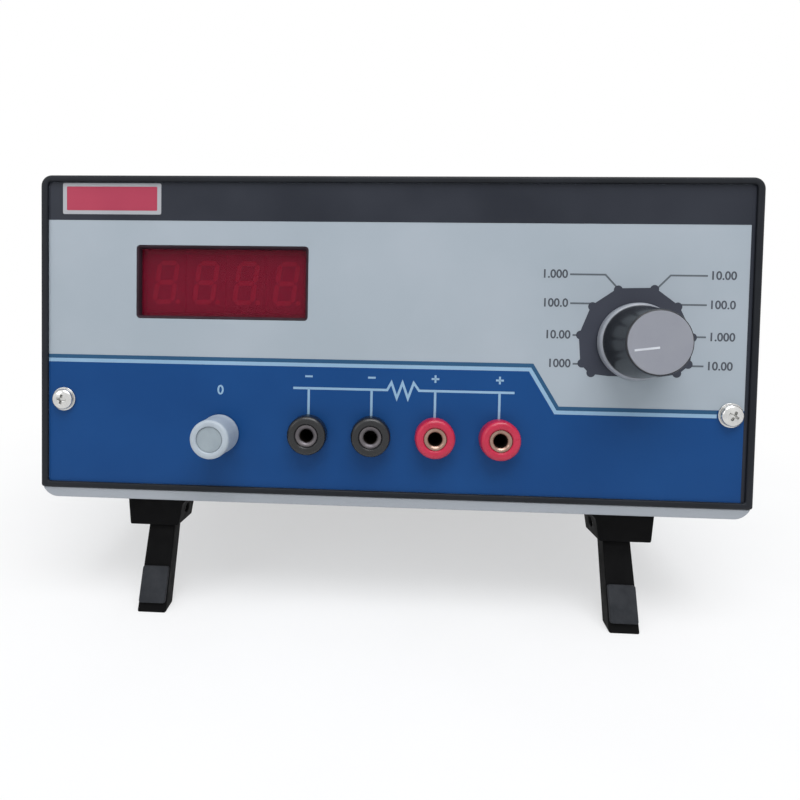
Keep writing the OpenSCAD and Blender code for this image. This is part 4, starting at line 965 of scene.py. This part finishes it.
# %% One screw
def pan_screw(name, head_r, head_h, length):
    """A cross-head screw pointing down, its head seated at zero height."""
    bm = bmesh.new()
    dome = [(head_r * math.sin(a), head_h * (0.42 + 0.58 * math.cos(a)))
            for a in (math.radians(90 - 10 * k) for k in range(9))]
    profile = [(0.0, -length), (1.2, -length), (1.5, -length + 0.4), (1.5, 0.0), (head_r - 0.12, 0.0),
               (head_r, 0.12)] + dome + [(0.0, head_h)]
    add_turned(bm, 0, 0, 0, profile, out=-1.0, steps=64)
    bmesh.ops.transform(bm, matrix=Matrix.Rotation(math.radians(-90), 4, "X"), verts=bm.verts)
    bmesh.ops.recalc_face_normals(bm, faces=bm.faces)
    made = []
    for part, geometry in (("", bm), ("_cutter", cross_cutter(head_h))):
        mesh = bpy.data.meshes.new(name + part)
        geometry.to_mesh(mesh)
        geometry.free()
        made.append(bpy.data.objects.new(name + part, mesh))
        bpy.context.scene.collection.objects.link(made[-1])
    cut = made[0].modifiers.new("recess", "BOOLEAN")
    cut.operation, cut.solver, cut.use_self, cut.object = "DIFFERENCE", "EXACT", True, made[1]
    baked = bpy.data.meshes.new_from_object(made[0].evaluated_get(bpy.context.evaluated_depsgraph_get()))
    made[0].modifiers.clear()
    made[0].data = baked
    bpy.data.objects.remove(made[1])
    print(name, len(baked.polygons), "faces", [round(v, 2) for v in made[0].dimensions])
    return made[0]


# %% [markdown]
# ### Geometry Nodes helpers
#
# Two trees follow: one sets a screw on each point, the other makes grip ribs round a cap. Both have
# named inputs, and both end in real geometry with its material.

# %% Tree helpers
def new_tree(name, inputs):
    """A geometry tree with named inputs (name, socket type, default)."""
    tree = bpy.data.node_groups.new(name, "GeometryNodeTree")
    tree.interface.new_socket("Geometry", in_out="INPUT", socket_type="NodeSocketGeometry")
    for label, kind, value in inputs:
        socket = tree.interface.new_socket(label, in_out="INPUT", socket_type=kind)
        if value is not None:
            socket.default_value = value
    tree.interface.new_socket("Geometry", in_out="OUTPUT", socket_type="NodeSocketGeometry")
    return tree, add(tree, "NodeGroupInput").outputs


def end_tree(tree, geometry, source):
    """Makes a tree's copies real geometry, gives them their material and sends them out."""
    real = add(tree, "GeometryNodeRealizeInstances", {"Geometry": geometry}).outputs["Geometry"]
    painted = add(tree, "GeometryNodeSetMaterial", {"Geometry": real, "Material": source["Material"]})
    add(tree, "NodeGroupOutput", {"Geometry": painted.outputs["Geometry"]})


print("tree helpers ready")

# %% [markdown]
# ### Screws on points
#
# Each point's stored direction aims its screw, and a random quarter turn about the screw's own axis
# follows.

# %% The screw tree
screw_tree, source = new_tree("screws_on_points", [
    ("Screw", "NodeSocketObject", None), ("Material", "NodeSocketMaterial", None),
    ("Seed", "NodeSocketInt", 7)])
facing_out = add(screw_tree, "GeometryNodeInputNamedAttribute", values={"Name": "facing"},
                 data_type="FLOAT_VECTOR").outputs["Attribute"]
aim = add(screw_tree, "FunctionNodeAlignRotationToVector", {"Vector": facing_out}, axis="Z")
screw = add(screw_tree, "GeometryNodeObjectInfo", {"Object": source["Screw"]}).outputs["Geometry"]
copies = add(screw_tree, "GeometryNodeInstanceOnPoints",
             {"Points": source["Geometry"], "Instance": screw, "Rotation": aim.outputs["Rotation"]})
turn_by = add(screw_tree, "FunctionNodeRandomValue", {"Seed": source["Seed"]}, data_type="FLOAT")
turn_by.inputs[3].default_value = math.pi / 2
spin = add(screw_tree, "ShaderNodeCombineXYZ", {"Z": turn_by.outputs[1]}).outputs["Vector"]
turned = add(screw_tree, "GeometryNodeRotateInstances",
             {"Instances": copies.outputs["Instances"], "Rotation": spin})
end_tree(screw_tree, turned.outputs["Instances"], source)
print("tree:", screw_tree.name, len(screw_tree.nodes), "nodes")

# %% [markdown]
# ### Ribs round a cap
#
# A circle of points carries one small bar on each, turned outwards.

# %% The rib tree
rib_tree, source = new_tree("ribs_round_a_cap", [
    ("Count", "NodeSocketInt", 24), ("Radius", "NodeSocketFloat", 5.0), ("Bar", "NodeSocketVector", None),
    ("Material", "NodeSocketMaterial", None)])
circle = add(rib_tree, "GeometryNodeMeshCircle", {"Vertices": source["Count"], "Radius": source["Radius"]})
outwards = add(rib_tree, "FunctionNodeAlignRotationToVector",
               {"Vector": add(rib_tree, "GeometryNodeInputPosition").outputs["Position"]}, axis="X")
bar = add(rib_tree, "GeometryNodeMeshCube", {"Size": source["Bar"]}).outputs["Mesh"]
ribs = add(rib_tree, "GeometryNodeInstanceOnPoints",
           {"Points": circle.outputs["Mesh"], "Instance": bar, "Rotation": outwards.outputs["Rotation"]})
end_tree(rib_tree, ribs.outputs["Instances"], source)
print("tree:", rib_tree.name, len(rib_tree.nodes), "nodes")

# %% [markdown]
# ### Running a tree
#
# The modifier's inputs are set by their identifiers before the object is first evaluated, and the
# evaluated mesh comes back as a plain bmesh.

# %% Tree runner
def run_tree(tree, points, settings):
    """Runs a tree on a cloud of (place, facing) points and returns its result as a bmesh."""
    mesh = bpy.data.meshes.new("points")
    mesh.from_pydata([place for place, _ in points], [], [])
    facing_data = mesh.attributes.new("facing", "FLOAT_VECTOR", "POINT")
    for item, (_, facing_to) in zip(facing_data.data, points):
        item.vector = facing_to
    holder = bpy.data.objects.new("points", mesh)
    bpy.context.scene.collection.objects.link(holder)
    modifier = holder.modifiers.new("tree", "NODES")
    modifier.node_group = tree
    sockets = {item.name: item.identifier for item in tree.interface.items_tree if item.in_out == "INPUT"}
    for label, value in settings.items():
        modifier[sockets[label]] = value
    result = bpy.data.meshes.new_from_object(holder.evaluated_get(bpy.context.evaluated_depsgraph_get()))
    bm = bmesh.new()
    bm.from_mesh(result)
    bpy.data.objects.remove(holder)
    bpy.data.meshes.remove(result)
    bpy.data.meshes.remove(mesh)
    return bm


print("tree runner ready")

# %% [markdown]
# ### Setting the screws
#
# Two hold the front panel, six hold the rear panel and the inlet, and four hold the cover.

# %% Screw places
WASHER_Y, BACK_Y = 0.4, CASE_D - 1.0
INLET_X, INLET_Z, INLET_PITCH, INLET_OUT = -66.0, 36.0, 20.0, 2.5
COVER_Z, COVER_Y = 8.0, (40.0, 180.0)
SCREWS = {
    "panel_screws": (3.3, 1.9, 13.0, [((s * SCREW_X, WASHER_Y, SCREW_Z), (0, -1, 0)) for s in (-1, 1)]),
    "rear_screws": (2.8, 1.8, 8.0, [((s * BOSS_X, BACK_Y, z), (0, 1, 0)) for s in (-1, 1)
                                    for z in (BOSS_LOW, BOSS_HIGH)]
                    + [((INLET_X + s * INLET_PITCH, BACK_Y + INLET_OUT, INLET_Z), (0, 1, 0))
                       for s in (-1, 1)]),
    "cover_screws": (2.8, 1.8, 4.0, [((s * HALF_W, y, COVER_Z), (s, 0, 0)) for s in (-1, 1)
                                     for y in COVER_Y])}
for seed, (node_name, (head_r, head_h, length, points)) in enumerate(SCREWS.items(), 3):
    pattern = pan_screw(node_name + "_pattern", head_r, head_h, length)
    bm = run_tree(screw_tree, points, {"Screw": pattern, "Material": bright_nickel, "Seed": seed})
    bpy.data.objects.remove(pattern)
    made = finish_piece(node_name + "_cross_head", bm, "case", bright_nickel, smooth=30)
    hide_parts(node_name)

# %% [markdown]
# ### The fuse cap's grip
#
# Fine ribs run along the cap so that fingers can turn it.

# %% Fuse cap ribs
CAP_X, CAP_Y, CAP_Z = -22.0, 223.8, 36.0
RIB_COUNT, RIB_AT, RIB = 28, 5.78, (0.36, 0.5, 4.2)
bm = run_tree(rib_tree, [((0, 0, 0), (1, 0, 0))],
              {"Count": RIB_COUNT, "Radius": RIB_AT, "Bar": RIB, "Material": fitting_black})
bmesh.ops.transform(bm, matrix=Matrix.Translation((CAP_X, CAP_Y, CAP_Z))
                    @ Matrix.Rotation(math.radians(90), 4, "X"), verts=bm.verts)
finish_piece("fuse_cap_ribs", bm, body_of["fuse_cap"], fitting_black)
print("screws and ribs set")

# %% [markdown]
# ## The room
#
# A pale floor, soft light from above and in front, and the camera fitted to the photograph: a phone
# about 20 cm in front of the panel. One helper tells which rays show the background.

# %% Background rays
def shows_background(tree):
    """1 for rays that show the background: seen straight, mirrored in metal or through glass."""
    path = add(tree, "ShaderNodeLightPath").outputs
    straight_or_mirrored = add(tree, "ShaderNodeMath", {0: path["Is Camera Ray"], 1: path["Is Glossy Ray"]},
                               operation="MAXIMUM").outputs["Value"]
    return add(tree, "ShaderNodeMath", {0: straight_or_mirrored, 1: path["Is Transmission Ray"]},
               operation="MAXIMUM").outputs["Value"]


print("background helper ready")

# %% [markdown]
# ### The floor
#
# The floor is a matt pale sheet that takes the instrument's shadow. To rays that show the background it
# is mixed with plain white, a little over half near the instrument and all of it further out.

# %% Floor
FADE_SHARES, FADE_REACH = (0.55, 1.0), (0.12, 0.26)
material, tree, coords = new_material("pale_floor")
cloud = noise(tree, coords, 60.0)
base = two_tone(tree, spread(tree, cloud, 0.0, 1.0), "#f4f4f4", "#f0f0f0")
diffuse = add(tree, "ShaderNodeBsdfPrincipled", {"Base Color": base}, {"Roughness": 0.8})
white = add(tree, "ShaderNodeEmission", values={"Strength": 1.0})
reach = add(tree, "ShaderNodeVectorMath", {0: coords}, operation="LENGTH").outputs["Value"]
far = spread(tree, reach, *FADE_SHARES, *FADE_REACH)
seen = add(tree, "ShaderNodeMath", {0: far, 1: shows_background(tree)}, operation="MULTIPLY")
blend = add(tree, "ShaderNodeMixShader", {"Fac": seen.outputs["Value"]})
tree.links.new(diffuse.outputs["BSDF"], blend.inputs[1])
tree.links.new(white.outputs["Emission"], blend.inputs[2])
finish_material(tree, blend.outputs["Shader"])
bm = bmesh.new()
bmesh.ops.create_grid(bm, x_segments=8, y_segments=8, size=3.0)
mesh = bpy.data.meshes.new("floor")
bm.to_mesh(mesh)
bm.free()
mesh.materials.append(material)
floor = bpy.data.objects.new("floor", mesh)
bpy.context.scene.collection.objects.link(floor)
print("floor laid:", floor.dimensions[:])

# %% [markdown]
# ### Daylight and lamps
#
# The world is a soft pale sky whose light comes from above only. What is seen of it, straight, mirrored
# in metal or through glass, is plain white. A large ceiling panel and a weak fill from the front left
# give the panel its even light.

# %% World and lamps
world = bpy.data.worlds.new("room")
bpy.context.scene.world = world
world.use_nodes = True
tree = world.node_tree
tree.nodes.clear()
facing = add(tree, "ShaderNodeSeparateXYZ", {"Vector": add(tree, "ShaderNodeTexCoord").outputs["Generated"]})
glow = spread(tree, facing.outputs["Z"], 0.16, 0.75, 0.0, 0.8)
soft = add(tree, "ShaderNodeBackground", {"Strength": glow}, {"Color": linear("#eef1f4")})
white = add(tree, "ShaderNodeBackground", values={"Color": (1, 1, 1, 1), "Strength": 1.0})
mixed = add(tree, "ShaderNodeMixShader", {"Fac": shows_background(tree)})
tree.links.new(soft.outputs["Background"], mixed.inputs[1])
tree.links.new(white.outputs["Background"], mixed.inputs[2])
add(tree, "ShaderNodeOutputWorld", {"Surface": mixed.outputs["Shader"]})


def lamp(name, place, target, size, power, colour):
    """A square soft light."""
    light = bpy.data.lights.new(name, "AREA")
    light.shape, light.size, light.size_y = "RECTANGLE", size[0], size[1]
    light.energy = power
    light.color = linear(colour)[:3]
    holder = bpy.data.objects.new(name, light)
    holder.location = place
    holder.rotation_euler = (Vector(target) - Vector(place)).to_track_quat("-Z", "Y").to_euler()
    bpy.context.scene.collection.objects.link(holder)


lamp("ceiling_panel", (0.1, -0.45, 1.0), (0.0, -0.1, 0.06), (0.9, 0.6), 8.0, "#fbfcff")
lamp("front_fill", (-0.9, -0.9, 0.7), (0.0, -0.1, 0.06), (0.5, 0.5), 1.6, "#ffffff")

# %% [markdown]
# ### Camera
#
# The place, the three small turns, the focal length and the picture's middle come from a fit to the
# front's corners, sockets and knobs in the photograph. They are given in the case's own frame, in
# millimetres, radians and pixels of an 800 pixel wide picture, and turned with the case.

# %% Camera
CAM = {"x": 1.426, "y": -193.435, "z": 52.492, "rx": 0.037, "ry": 0.059, "rz": 0.020,
       "focal": 616.596, "middle_x": 355.967, "middle_y": 354.285, "width": 800.0}
turn = (Matrix.Rotation(CAM["rz"], 4, "Z") @ Matrix.Rotation(CAM["ry"], 4, "Y")
        @ Matrix.Rotation(CAM["rx"], 4, "X"))
swap = Matrix(((1, 0, 0, 0), (0, 0, -1, 0), (0, 1, 0, 0), (0, 0, 0, 1)))
flip = Matrix(((1, 0, 0, 0), (0, -1, 0, 0), (0, 0, -1, 0), (0, 0, 0, 1)))
to_camera = flip @ turn @ swap
camera_data = bpy.data.cameras.new("camera")
camera = bpy.data.objects.new("camera", camera_data)
bpy.context.scene.collection.objects.link(camera)
rotation = (Matrix.Rotation(-tilt, 4, "X") @ to_camera.transposed()).to_3x3().to_4x4()
camera.matrix_world = (Matrix.Translation(CASE @ Vector((CAM["x"], CAM["y"], CAM["z"]))) @ rotation)
camera_data.lens = CAM["focal"] / CAM["width"] * camera_data.sensor_width
camera_data.shift_x = (CAM["width"] / 2 - CAM["middle_x"]) / CAM["width"]
camera_data.shift_y = (CAM["middle_y"] - CAM["width"] / 2) / CAM["width"]
camera_data.clip_start = 0.01
bpy.context.scene.camera = camera
bpy.context.scene.view_settings.view_transform = "Standard"
print("camera at", [round(v, 3) for v in camera.matrix_world.translation])
